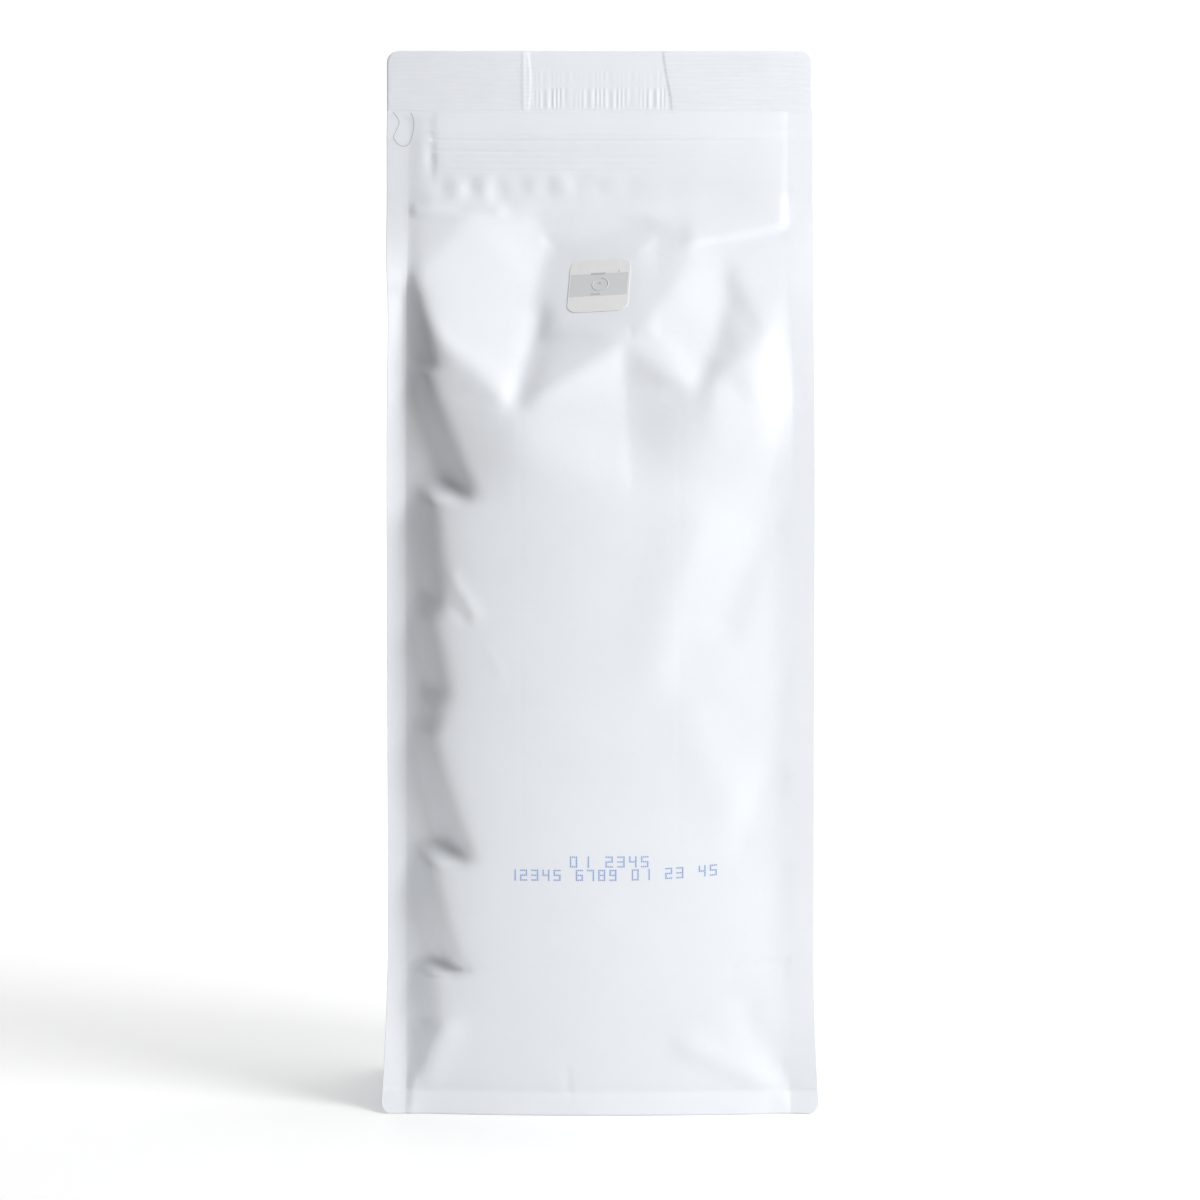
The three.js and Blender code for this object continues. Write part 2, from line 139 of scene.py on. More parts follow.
FRONT = {
    "middle": -0.6,
    "leans": (18, 3),
    "steps": (
        ((0, 4), (8, 6), (45, 15.5), (70, 17.5), (200, 17), (226, 18), (240, 17.5), (250, 13.5), (262, 8.5),
         (270, 1.2), (292, 0.8)),
        ((0, 4), (60, 3), (215, 3.2), (232, 3), (241, 0), (252, -3.4), (264, -4), (276, -2), (292, 0.3)),
    ),
    "pinches": (
        (Pinch(266, 240, 1.5, 7, 1, 2.5), Pinch(240, 201, 4, 19.5, 1.3, 4.5),
         Pinch(201, 164, 6, 9.5, 1.5, 5), Pinch(164, 135, 5, 11, 1.3, 5), Pinch(135, 126, 6.5, 8, 1, 4),
         Pinch(126, 84.5, 5.5, 18.5, 1.6, 4.5),
         Pinch(84.5, PRESSED_LINE, 5.5, 16, 2, 2.5),
         Pinch(PRESSED_LINE, 27, 5, 7, 1, 4), Pinch(27, 0, 3, 5, 1, 3)),
        (Pinch(262, 196, 4, 8, 1, 5), Pinch(196, 144, 3, 7, 1, 5), Pinch(144, 112, 2, 7, 1, 4),
         Pinch(112, 82, 2, 8, 1, 4), Pinch(82, 48, 2, 6, 1, 2), Pinch(48, 0, 2, 7, 1, 3)),
    ),
}
BACK = {
    "middle": 0.6,
    "leans": (16, 22),
    "steps": (
        ((0, 4), (8, 4.5), (70, 9.5), (230, 10.5), (262, 6), (292, 0.8)),
        ((0, 4), (8, 4.5), (70, 8.5), (226, 9.5), (266, 6), (292, 0.8)),
    ),
    "pinches": (
        (Pinch(262, 214, 3, 15, 2, 5), Pinch(214, 150, 3, 15, 2, 5), Pinch(150, 96, 4, 17, 2, 5),
         Pinch(96, 48, 3, 16, 2, 2), Pinch(48, 0, 3, 9, 1, 3)),
        (Pinch(268, 222, 3, 12, 2, 5), Pinch(222, 164, 4, 15, 2, 5), Pinch(164, 108, 3, 16, 2, 5),
         Pinch(108, 48, 4, 16, 2, 2), Pinch(48, 0, 3, 9, 1, 3)),
    ),
}

# Corners of the front's shoulder facets: across, up, and how far each stands out past the leaning face.
SHOULDER_POINTS = {
    "topLeft": (-62.6, 291, 0),
    "topCrown": (-42, 289, 1.6),
    "topValley": (-20, 289, -1.8),
    "topMiddle": (0, 291, 0),
    "topSmudge": (19, 288, -0.6),
    "topPeak": (30, 284, 1.0),
    "topRight": (61.4, 291, 0),
    "leftBrow": (-62.6, 266, 0.6),
    "leftRidgeHigh": (-50, 250, -2.4),
    "leftRidgeLow": (-41, 239, -1.6),
    "leftLow": (-62.6, 236, -6),
    "valleyHigh": (-18, 276, -5.8),
    "valleyMiddle": (-21.5, 262, -6.4),
    "valleyLow": (-23, 248, -7.4),
    "valleyEnd": (-26, 238, -4.6),
    "peak": (-27, 226.5, -0.4),
    "browRidge": (-6, 240, 0.4),
    "bridge": (8, 248.6, 1.8),
    "spurLow": (16, 256, 2.2),
    "spurMiddle": (24, 266, 3.1),
    "spurHigh": (30, 276, 2.8),
    "hollowHigh": (41, 276, 1.6),
    "hollowMiddle": (40.5, 261.5, 0.6),
    "hollowLow": (37, 247, 0),
    "hollowEnd": (33, 237.5, -0.6),
    "crestFold": (61.4, 259, 4.2),
    "crestHigh": (53, 250.5, 4.5),
    "crestMiddle": (45.5, 243.5, 3.6),
    "crestLow": (38, 238, 2),
    "crestEnd": (30, 231, 0.4),
    "gullyMiddle": (7, 236, -2.4),
    "gullyLow": (6.6, 218, -3),
    "gullyFoot": (6.4, 200, 0),
    "swellLeft": (-26, 212, 0.6),
    "swellRight": (22, 218, -0.4),
    "lowLeftEdge": (-62.6, 204, -2),
    "lowLeft": (-34, 200, 0),
    "lowRight": (30, 203, 0),
    "lowRightEdge": (61.4, 206, 0),
    "faceRight": (50, 226, 0.2),
    "edgeRight": (61.4, 236, 1.0),
}
SHOULDER_FACETS = (
    ("topCrown", "topLeft", "leftBrow", "valleyMiddle", "valleyHigh", "topValley"),
    ("leftBrow", "leftRidgeHigh", "valleyLow", "valleyMiddle"),
    ("leftRidgeHigh", "leftRidgeLow", "peak", "valleyEnd", "valleyLow"),
    ("leftBrow", "leftLow", "leftRidgeLow", "leftRidgeHigh"),
    ("leftLow", "lowLeftEdge", "lowLeft", "peak", "leftRidgeLow"),
    ("topValley", "valleyHigh", "topMiddle"),
    ("valleyHigh", "valleyMiddle", "spurMiddle", "topSmudge", "topMiddle"),
    ("valleyMiddle", "valleyLow", "bridge", "spurLow", "spurMiddle"),
    ("valleyLow", "valleyEnd", "browRidge", "bridge"),
    ("valleyEnd", "peak", "browRidge"),
    ("topSmudge", "spurMiddle", "spurHigh", "topPeak"),
    ("topMiddle", "topSmudge", "topPeak", "topRight"),
    ("topPeak", "spurHigh", "hollowHigh", "topRight"),
    ("spurHigh", "spurMiddle", "hollowMiddle", "hollowHigh"),
    ("spurMiddle", "spurLow", "hollowLow", "hollowMiddle"),
    ("spurLow", "bridge", "crestEnd", "hollowEnd", "hollowLow"),
    ("hollowHigh", "hollowMiddle", "crestHigh", "crestFold", "topRight"),
    ("hollowMiddle", "hollowLow", "crestMiddle", "crestHigh"),
    ("hollowLow", "hollowEnd", "crestLow", "crestMiddle"),
    ("hollowEnd", "crestEnd", "crestLow"),
    ("crestFold", "crestHigh", "edgeRight"),
    ("crestHigh", "crestMiddle", "faceRight", "edgeRight"),
    ("crestMiddle", "crestLow", "faceRight"),
    ("crestLow", "crestEnd", "lowRight", "faceRight"),
    ("faceRight", "lowRight", "lowRightEdge", "edgeRight"),
    ("peak", "swellLeft", "gullyLow", "gullyMiddle", "browRidge"),
    ("peak", "lowLeft", "swellLeft"),
    ("swellLeft", "lowLeft", "gullyFoot", "gullyLow"),
    ("browRidge", "gullyMiddle", "bridge"),
    ("crestEnd", "bridge", "gullyMiddle", "gullyLow", "swellRight"),
    ("gullyLow", "gullyFoot", "lowRight", "swellRight"),
    ("swellRight", "lowRight", "crestEnd"),
)

FRONT_CREASES = (
    Crease(((-26.5, 230), (-22, 243), (-19, 255)), -1.1, (4, 5)),
    Crease(((-64, 290.5), (-46, 289), (-34, 290)), 0.9, (2.6, 1.4)),
    Crease(((-30, 290.3), (-25, 291)), 0.25, (2.8, 2)),
    Crease(((-54, 293), (-38, 293.5)), 0.6, (4.5, 2)),
    Crease(((32, 281.5), (46, 284), (62, 287.5)), 1.4, (7, 1.9)),
    Crease(((33, 278.5), (46, 280.5), (62, 283.5)), -0.3, (1.8, 3)),
    Crease(((9, 246), (9.5, 226), (11, 206)), -0.35, (3.5, 9)),
    Crease(((10, 251), (9.6, 256)), -0.4, (0.9, 0.9)),
    Crease(((-47, 172), (-40.5, 162)), 0.45, (1.8, 2.4)),
    Crease(((-48, 164), (-44, 160)), -0.25, (1.6, 1.6)),
    Crease(((-36, 150), (-32, 143)), 0.12, (1.8, 1.8)),
    Crease(((31, 190), (24, 172), (18, 146)), 0.75, (11, 7)),
    Crease(((50, 188), (46, 176), (40, 160)), -0.6, (7, 6)),
    Crease(((30, 124), (37, 110), (44, 96)), 0.42, (8, 7)),
    Crease(((53, 108), (48, 97), (46, 88)), -0.4, (5, 5)),
    Crease(((-64, PRESSED_LINE), (-43, PRESSED_LINE - 0.9)), -0.4, (1.1, 0.7)),
    Crease(((-43, PRESSED_LINE - 0.9), (-10, PRESSED_LINE - 0.2), (43, PRESSED_LINE - 0.3)), -0.12,
           (0.9, 0.6)),
    Crease(((43, PRESSED_LINE - 0.3), (62, PRESSED_LINE + 2.5)), -0.4, (0.9, 1.2)),
    Crease(((-25.5, 226), (-25.2, 88)), -0.05, (0.6, 0.6)),
    Crease(((25.5, 226), (25.2, 88)), -0.05, (0.6, 0.6)),
    Crease(((-65, 3.5), (-57, 13.5), (-51, 25)), 1.3, (3.6, 6)),
    Crease(((62, 4), (46, 13), (29, 21)), 0.8, (5, 4)),
    Crease(((62, 8), (55, 17), (47, 32)), -0.5, (5, 5)),
    Crease(((-10.6, 12.5), (-9.7, 6.5)), -0.25, (1.8, 1.2)),
    Crease(((-64, 6.4), (64, 6.4)), -0.35, (0.7, 0.7)),
)
BACK_CREASES = (
    Crease(((-62, 291), (-20, 288), (30, 291)), 0.9, (2.4, 1.5)),
    Crease(((-30, 286), (-14, 232)), 2.2, (8, 5)),
    Crease(((22, 284), (12, 226)), 2.0, (6, 9)),
    Crease(((-2, 262), (-1, 214)), -1.8, (6, 6)),
    Crease(((50, 262), (38, 228)), -1.5, (6, 5)),
    Crease(((-52, 258), (-42, 224)), -1.4, (5, 6)),
    Crease(((-40, 190), (-26, 160)), 0.8, (7, 5)),
    Crease(((28, 176), (40, 140)), 0.9, (6, 6)),
    Crease(((-62, PRESSED_LINE), (62, PRESSED_LINE - 0.2)), -0.25, (0.8, 0.6)),
    Crease(((0, 228), (0, 8)), 0.35, (1.1, 1.1)),
    Crease(((-63, 4), (-48, 22)), 1.2, (2, 5)),
    Crease(((63, 4), (49, 21)), 1.2, (2, 5)),
    Crease(((-64, 6.4), (64, 6.4)), -0.35, (0.7, 0.7)),
)
# How far the folds and the swells of the front are rounded, and how a pinch's level tilts across.
FOLD_BLUR = 1.7
SWELL_BLUR = 4.5
PINCH_TILT = 0.1
# Share of the rise from fold to face that a pinch's edge takes, and how far in the rest reaches.
PINCH_SHARE = 0.7
SLOPE_REACH = 10
# How soft a pinch's edge is at its top, and how much softer halfway down.
PINCH_SOFT = (1.5, 0.4)
# How much more the face sags towards its left edge than towards its right one.
LEFT_SAG = 1.3

# The zipper's ends, how far the film over it stands out past them, and the dent beside its left end.
ZIPPER_LEFT = -54.4
ZIPPER_RIGHT = 61.8
ZIPPER_RAISED = 0.2
ZIPPER_DENT = (-55.4, 308)
# Lines that the welded zipper presses into the film: height, how far it stands out, its width, and where
# across it begins and has faded.
ZIPPER_LINES = (
    (322.9, -0.14, 0.35, -70, 80), (319.4, 0.16, 1.8, -56, 70), (316.5, 0.3, 0.6, -56, 80),
    (313.9, -0.34, 0.45, -56, 74), (310.3, -0.3, 0.42, -55, 4), (308.3, -0.08, 0.4, -50, 60),
    (306.2, -0.1, 0.45, -50, 50), (304.1, -0.07, 0.45, -50, 40),
)
# Dents and swellings where the film puckers under the zipper: across, and how far each stands out.
PUCKERS = (
    (-52.3, -0.3), (-46.6, 0.55), (-42.6, -0.4), (-37.9, 0.42), (-33.4, -0.36), (-25.8, -0.28),
    (-21.5, 0.2), (-17.3, -0.26), (-12.4, 0.36), (-6.9, -0.2), (0, -0.16), (4.5, 0.12), (9.5, -0.14),
    (22.9, -0.12), (30, 0.1),
)
PUCKER_LINE = 298.5
PUCKER_WIDTH = 2.7
PUCKER_HEIGHT = 3.4

# Where the left gusset's edge shows through the seal, and the right one's at the seal's foot and top.
STEP_LEFT = -23.6
STEP_RIGHT = (23.4, 20.8)
# The seal's half thickness, how much each gusset and the edges add to it, and how far it waves.
SEAL_HALF = 0.16
GUSSET_ADDS = 0.2
EDGE_ADDS = 0.12
SEAL_WAVE = 0.25
# The heights between which the side ribs run, and each row of crimps: foot, top, fade and strength.
SIDE_RIBS = (324.4, 342.4)
CRIMP_ROWS = ((324, 331, 1.2, 0.75), (332.2, 336.4, 0.8, 0.22))

# Settings of the maths nodes.
MATHS = "ShaderNodeMath"
TIMES = {"operation": "MULTIPLY"}
OVER = {"operation": "DIVIDE"}
PLUS = {"operation": "ADD"}
MINUS = {"operation": "SUBTRACT"}
SINE = {"operation": "SINE"}

# The seal's ribs and crimps and the printed dots, in metres.
RIB_SLANT = 0.02
CRIMP_SWAY = 0.0005
CRIMP_SWAY_TURNS = 900.0
RIB_PITCH = 0.00133
CRIMP_PITCH = 0.00178
RIB_DEPTH = 0.00015
DOT_SIZE = 0.00052
DOT_PITCH = 0.00062

# The cut of the tear tab, as places across and up.
TAB_PATH = ((-67.8, 322.9), (-66.2, 320.8), (-65.9, 318.9), (-67.4, 315.2), (-67.2, 313.7), (-65.9, 312.3),
            (-64.4, 311.7), (-63, 312.1), (-61.9, 313.7), (-61, 317.7), (-61.2, 320.8), (-61.9, 322.7))

# The strokes of each number, and where each stroke runs on a grid of four columns and seven rows.
SEGMENTS = {
    "0": "abcdef", "1": "bc", "2": "abged", "3": "abgcd", "4": "fgbc",
    "5": "afgcd", "6": "afgedc", "7": "abc", "8": "abcdefg", "9": "abcdfg",
}
SEGMENT_ENDS = {
    "a": ((0, 6), (3, 6)), "b": ((3, 6), (3, 3)), "c": ((3, 3), (3, 0)), "d": ((0, 0), (3, 0)),
    "e": ((0, 0), (0, 3)), "f": ((0, 3), (0, 6)), "g": ((0, 3), (3, 3)),
}

# Rows of printed numbers: left end, foot, how wide and tall they are set, and how much they climb.
CODE_ROWS = (
    ("01 2345", -9.4, 80.4, (1.02, 0.84), 0.0004),
    ("12345 6789 01 23 45", -28.9, 76.1, (0.96, 0.84), 0.0012),
)

# The mesh: the fine grid that holds a panel's depth, and how many columns each part has.
GRID_STEP = 0.5
FRONT_COLUMNS = 132
BACK_COLUMNS = 72
# Columns across a sealed edge, as shares from its tip to its fold.
FIN_SHARES = (0, 0.03, 0.3, 0.65, 0.95)
FOLD_STEP = 0.25
GUSSET_COLUMNS = 24
# Bands of the film from its foot up: from, to, and how far apart its rings are.
FILM_BANDS = ((0, SKIRT_HEIGHT, 0.6), (SKIRT_HEIGHT, 302, 1.2), (302, SEAL_BOTTOM, 0.36))
# Rings under the foot, from its rim inwards: share of the rim's size, and height.
FOOT_RINGS = ((0.985, 0.0), (0.94, 0.2), (0.925, 1.4), (0.90, 2.2), (0.55, 2.4), (0.2, 2.4))
FOOT_RAISED = 2.4

# The valve label.
LABEL_GAP = 0.3
LABEL_TURN = math.radians(4)
STUCK_PATCH = (10.8, 20)
STRIP_UP = 0.35
STRIP_HALF = 4.6
BAND_HIGH_FOOT = 5.3
BAND_LOW_TOP = -4.6
LABEL_CORNER = 3.3
LABEL_RIM = 0.5
LABEL_THICK = 0.16

# The photograph's view, and the softboxes, in pixels, metres and degrees.
PHOTO_WIDTH_PX = 1200
SENSOR_WIDTH_MM = 36.0
CAMERA_FOCAL_PX = 4552
CAMERA_DISTANCE = 1.5
CAMERA_HEIGHT = 0.256
CAMERA_TILT = 3.56
KEY_SIZE = 0.55
OVERHEAD_PLACE = (0.1, 0.5, 1.3)
OVERHEAD_TARGET = (-0.1, 0, 0)
OVERHEAD_SIZE = 0.8


def rise(inside, reach, soft):
    """From 0 at the fold to 1 on the face, sloping from the fold on and steepest at the reach."""
    curve = 1 / (1 + np.exp((reach - inside) / soft))
    start = 1 / (1 + np.exp(reach / soft))
    slope = 1 - np.exp(-inside / SLOPE_REACH)
    return PINCH_SHARE * (curve - start) / (1 - start) + (1 - PINCH_SHARE) * slope


def pinched(inside, z, pinches):
    """The rise from fold to face through the pinches down one side."""
    total = np.zeros_like(inside)
    level = z + PINCH_TILT * inside
    for i, pinch in enumerate(pinches):
        down = np.clip((pinch.top - level) / (pinch.top - pinch.foot), 0, 1)
        reach = mix(pinch.first, pinch.last, down**pinch.bend)
        soft = PINCH_SOFT[0] + PINCH_SOFT[1] * np.sin(math.pi * np.clip(down, 0, 0.85))
        above = pinches[i - 1].blend if i else 1
        begins = 1 - smooth(level, pinch.top - above, pinch.top + above) if i else 1
        last = i == len(pinches) - 1
        ends = 1 if last else smooth(level, pinch.foot - pinch.blend, pinch.foot + pinch.blend)
        total = total + begins * ends * rise(inside, reach, soft)
    return total


def fold_depth(z, panel, side):
    """Depth of the fold beside a sealed edge."""
    return np.maximum(face_depth(z) - along(panel["steps"][side], z), SEAL_DEPTH)


def splay(past, z, degrees):
    """How much further a sealed edge stands out at a distance past its fold."""
    lean = np.radians(mix(FOOT_SPLAY, degrees, smooth(z, 0, 40)))
    return past * np.tan(lean) * (1 - smooth(z, SHOULDER_TOP - 32, SHOULDER_TOP))


def skirt(z):
    """How far the sealed rim round the foot flares out."""
    return SKIRT_FLARE * np.clip(1 - z / SKIRT_HEIGHT, 0, 1) ** 1.15


def lay_facets(x, z, points, facets):
    """Flat triangles over the across-and-up plane, each facet as a fan from its first corner."""
    height = np.zeros_like(x)
    for names in facets:
        corners = [points[name] for name in names]
        for b, c in zip(corners[1:], corners[2:]):
            a = corners[0]
            area = (b[0] - a[0]) * (c[1] - a[1]) - (c[0] - a[0]) * (b[1] - a[1])
            u = ((x - a[0]) * (c[1] - a[1]) - (c[0] - a[0]) * (z - a[1])) / area
            v = ((b[0] - a[0]) * (z - a[1]) - (x - a[0]) * (b[1] - a[1])) / area
            inside = (u >= 0) & (v >= 0) & (u + v <= 1)
            height = np.where(inside, a[2] + u * (b[2] - a[2]) + v * (c[2] - a[2]), height)
    return height


def lay_crease(x, z, crease):
    """Height that one crease adds, fading out past the ends of its path."""
    best = np.full_like(x, 1e9)
    height = np.zeros_like(x)
    for (ax, az), (bx, bz) in zip(crease.path, crease.path[1:]):
        run = math.hypot(bx - ax, bz - az)
        ux, uz = (bx - ax) / run, (bz - az) / run
        t = (x - ax) * ux + (z - az) * uz
        aside = (x - ax) * uz - (z - az) * ux
        over = np.abs(t - np.clip(t, 0, run))
        if abs(ux) > abs(uz):
            upper = -np.sign(ux) * aside > 0
        else:
            upper = np.sign(uz) * aside < 0
        width = np.where(upper, crease.flanks[0], crease.flanks[1])
        distance = np.hypot(aside / width, over / (0.5 * (crease.flanks[0] + crease.flanks[1]) + 0.8))
        height = np.where(distance < best, crease.height * np.exp(-distance**2), height)
        best = np.minimum(best, distance)
    return height


def blur(field, radius):
    """Rounds a depth map over about a radius, in grid steps."""
    reach = int(math.ceil(3 * radius))
    weights = np.exp(-0.5 * (np.arange(-reach, reach + 1) / radius) ** 2)
    weights /= weights.sum()
    for axis in (0, 1):
        edges = [(reach, reach) if axis == a else (0, 0) for a in (0, 1)]
        padded = np.pad(field, edges, mode="edge")
        count = field.shape[axis]
        field = sum(w * np.take(padded, np.arange(i, i + count), axis) for i, w in enumerate(weights))
    return field


def panel_depth(x, z, panel, facets, creases, step):
    """Depth of a panel on a grid, out past the tips of its sealed edges."""
    inwards = PANEL_HALF - np.abs(x - panel["middle"])
    left = x < panel["middle"]
    inside = np.clip(inwards, 0, None)
    fold = np.where(left, fold_depth(z, panel, 0), fold_depth(z, panel, 1))
    share = np.where(left, pinched(inside, z, panel["pinches"][0]), pinched(inside, z, panel["pinches"][1]))
    upright = 1 - smooth(z, FILL_LINE - 28, FILL_LINE + 6)
    sag = FACE_SAG * np.where(left, LEFT_SAG, 1) * ((x - panel["middle"]) / PANEL_HALF) ** 2
    face = face_depth(z) - sag * upright
    if facets:
        folded = lay_facets(x, z, *facets)
        swells = blur(folded, SWELL_BLUR / step)
        folds = blur(folded, FOLD_BLUR / step)
        face = face + mix(swells, folds, smooth(z, 216, 234))
    film = blur(fold + (face - fold) * share, 0.5 / step)
    for crease in creases:
        film = film + lay_crease(x, z, crease) * smooth(inwards, -0.5, 2.5)
    lean = [splay(-inwards, z, degrees) for degrees in panel["leans"]]
    edge = fold + np.where(left, *lean)
    closed = smooth(z, SEAL_BOTTOM - 1, SEAL_BOTTOM)
    return mix(np.where(inwards < 0, edge, film), SEAL_DEPTH, closed) + skirt(z)


def outline_half(z):
    """Half width out to the tips of the sealed edges, with the four corners of the film rounded."""
    flare = (FOOT_HALF - BODY_HALF) * np.clip(1 - z / FOOT_FLARE_HEIGHT, 0, 1) ** 1.5
    spread = (TOP_HALF - BODY_HALF) * smooth(z, FILL_LINE + 20, SHOULDER_TOP)
    inset = np.clip(CORNER_RADIUS - np.minimum(z, BAG_HEIGHT - z), 0, CORNER_RADIUS)
    corner = CORNER_RADIUS - np.sqrt(CORNER_RADIUS**2 - inset**2)
    return BODY_HALF + flare + spread - corner


def label_frame():
    """The middle of the valve label's underside, and its sideways, upward and outward directions."""
    points = np.array([v.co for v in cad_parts["valve_label"].data.vertices]) / MM
    middle = (points.min(0) + points.max(0)) / 2
    outwards = np.linalg.svd(points - points.mean(0))[2][2]
    outwards = outwards * -np.sign(outwards[1])
    sideways = np.cross((0, 0, 1), outwards)
    sideways = sideways / np.linalg.norm(sideways)
    half_thick = np.abs((points - middle) @ outwards).max()
    return middle - outwards * half_thick, sideways, np.cross(outwards, sideways), outwards


LABEL_MIDDLE, LABEL_RIGHT, LABEL_UP, LABEL_OUT = label_frame()


def under_label(x, z, depth):
    """Flattens the film where the valve label is stuck to it."""
    base = LABEL_MIDDLE - LABEL_OUT * LABEL_GAP
    plane = -base[1] + ((x - base[0]) * LABEL_OUT[0] + (z - base[2]) * LABEL_OUT[2]) / LABEL_OUT[1]
    away = np.maximum(np.abs(x - base[0]), np.abs(z - base[2]) * 1.1)
    return mix(depth, plane, 1 - smooth(away, *STUCK_PATCH))


def depth_map(panel, facets, creases):
    """A panel on a fine grid: places across, places up, and depths."""
    xs = np.arange(-73, 73.01, GRID_STEP)
    zs = np.arange(0, SEAL_BOTTOM + 0.01, GRID_STEP)
    x, z = np.meshgrid(xs, zs)
    return x, z, panel_depth(x, z, panel, facets, creases, GRID_STEP)


def sample(grid, x, z):
    """Depth at any places, read between the points of a fine grid."""
    columns, rows, depths = grid
    u = np.clip((x - columns[0, 0]) / GRID_STEP, 0, depths.shape[1] - 1.001)
    v = np.clip((z - rows[0, 0]) / GRID_STEP, 0, depths.shape[0] - 1.001)
    i, j = u.astype(int), v.astype(int)
    fu, fv = u - i, v - j
    low = mix(depths[j, i], depths[j, i + 1], fu)
    high = mix(depths[j + 1, i], depths[j + 1, i + 1], fu)
    return mix(low, high, fv)


def zipper(x, z):
    """The press-to-close zipper's welded lines in the film, and the puckers under them."""
    zone = smooth(z, 290, 296) * (1 - smooth(z, SEAL_BOTTOM - 0.5, SEAL_BOTTOM - 0.1))
    level = z + 0.5 * (1 - (x / 60) ** 2)
    lines = 0
    for height, out, width, begin, end in ZIPPER_LINES:
        reach = smooth(x, begin, begin + 1.5) * (1 - smooth(x, mix(begin, end, 0.45), end))
        lines = lines + out * reach * np.exp(-(((level - height) / width) ** 2))
    lines = lines * (1 - smooth(x, ZIPPER_RIGHT - 1.4, ZIPPER_RIGHT - 0.2))
    for i, (across, out) in enumerate(PUCKERS):
        height = PUCKER_LINE + 1.6 * math.sin(4.1 * i + 1)
        lean = 0.45 * (z - height) * math.sin(2.3 * i)
        away = ((x - across - lean) / PUCKER_WIDTH) ** 2 + ((z - height) / PUCKER_HEIGHT) ** 2
        lines = lines + 0.8 * out * np.exp(-away)
    raised = smooth(x, ZIPPER_LEFT, ZIPPER_LEFT + 0.9) * (1 - smooth(x, ZIPPER_RIGHT - 2.6, ZIPPER_RIGHT))
    raised = raised * smooth(z, 297, 302)
    dent = np.exp(-(((x - ZIPPER_DENT[0]) / 1.5) ** 2) - ((z - ZIPPER_DENT[1]) / 4.5) ** 2)
    return (lines + ZIPPER_RAISED * raised - 0.4 * dent) * zone


def front_map():
    """The front panel on a fine grid, flat where the label is stuck."""
    x, z, depth = depth_map(FRONT, (SHOULDER_POINTS, SHOULDER_FACETS), FRONT_CREASES)
    return x, z, under_label(x, z, depth)


def back_map():
    """The back panel on a fine grid."""
    return depth_map(BACK, None, BACK_CREASES)


def spread(low, high, spacing):
    """Places after one value up to and with another, about a spacing apart."""
    count = max(1, round(abs(high - low) / spacing))
    return [low + (high - low) * (i + 1) / count for i in range(count)]


def film_levels():
    """Heights of the film's rings."""
    return np.array([0.0] + [z for low, high, spacing in FILM_BANDS for z in spread(low, high, spacing)])


def gusset_columns(z, fronts, backs, fold, shares):
    """Across and depth places of a side gusset: pulled in to its middle crease above the beans."""
    low = np.clip(fronts, 0, None)
    high = np.clip(backs, 0, None)
    half = (low + high) / 2
    taken = np.sqrt(np.clip(GUSSET_HALF**2 - half**2, 0, None))
    folded_in = taken * smooth(z, FILL_LINE - 30, FILL_LINE + 25)
    sealed = smooth(z, POCKET_TOP - 2, SEAL_BOTTOM)
    full = GUSSET_BULGE * smooth(z, 2, 60) * (1 - smooth(z, FILL_LINE - 60, FILL_LINE + 10))
    middle_line = GUSSET_LINE * np.exp(-((shares / 0.025) ** 2)) * smooth(z, 3, 20)
    bow = 1 - np.abs(shares)
    middle = full * (1 - shares**2) - folded_in * bow * (1 - sealed) - middle_line
    ripple = GUSSET_RIPPLE * np.sin(z / 17 + 3 * shares) * np.cos(4.2 * shares) * (1 - shares**2)
    ripple = ripple * smooth(z, 20, 60) * (1 - smooth(z, FILL_LINE - 20, FILL_LINE + 20))
    across = mix(fold + middle + ripple, outline_half(z), sealed)
    return across, np.where(shares > 0, shares * low, shares * high)


def half_ring(z, panel, other, grid, columns):
    """One half of every ring: a panel with both its sealed edges, then the gusset to its right."""
    z = z[:, None]
    tip = outline_half(z)
    middle = panel["middle"]
    inside = np.linspace(FOLD_STEP - PANEL_HALF, PANEL_HALF - FOLD_STEP, columns - 1)
    inner = middle + np.concatenate([[-PANEL_HALF], inside, [PANEL_HALF]])[None, :]
    share = np.array(FIN_SHARES)[None, :]
    left = -tip + (middle - PANEL_HALF + tip) * share
    right = (tip - (tip - middle - PANEL_HALF) * share)[:, ::-1]
    across = np.hstack([left, np.broadcast_to(inner, (len(z), columns + 1)), right])
    depth = sample(grid, across, np.broadcast_to(z, across.shape))
    depth = depth + zipper(across if panel is FRONT else -across, z)
    front = gusset_half(z, panel, 1)
    back = gusset_half(z, other, 0)
    fold = PANEL_HALF + middle + EDGE_THICK / 2
    shares = np.linspace(1, -1, GUSSET_COLUMNS + 1)[None, :]
    gusset_x, gusset_y = gusset_columns(z, front, back, fold, shares)
    near, near_y = behind_edge(z, tip, fold, panel, 1, depth[:, -1:], front)
    far, far_y = behind_edge(z, tip, PANEL_HALF - other["middle"] + EDGE_THICK / 2, other, 0, None, back)
    xs = np.hstack([across, near, gusset_x, far[:, ::-1]])
    ys = np.hstack([depth, near_y, gusset_y, -far_y[:, ::-1]])
    return xs, -ys


def gusset_half(z, panel, side):
    """Depth of a gusset's fold behind a sealed edge."""
    fold = fold_depth(z, panel, side)
    return np.maximum(fold + skirt(z) - EDGE_THICK, np.minimum(PLEAT_MOUTH, 0.7 * fold))


def behind_edge(z, tip, fold, panel, side, face, fold_y):
    """The inner face of a sealed edge, from its tip to the gusset's fold."""
    shares = np.array([0, 0.05, 0.9])[None, :]
    across = tip - 0.02 - (tip - 0.02 - fold) * shares
    lean = splay(np.clip(across - PANEL_HALF, 0, None), z, panel["leans"][side])
    depth = fold_y + lean
    if face is not None:
        depth = np.minimum(depth, np.maximum(face - EDGE_THICK, fold_y))
    return across, np.maximum(depth, fold_y)


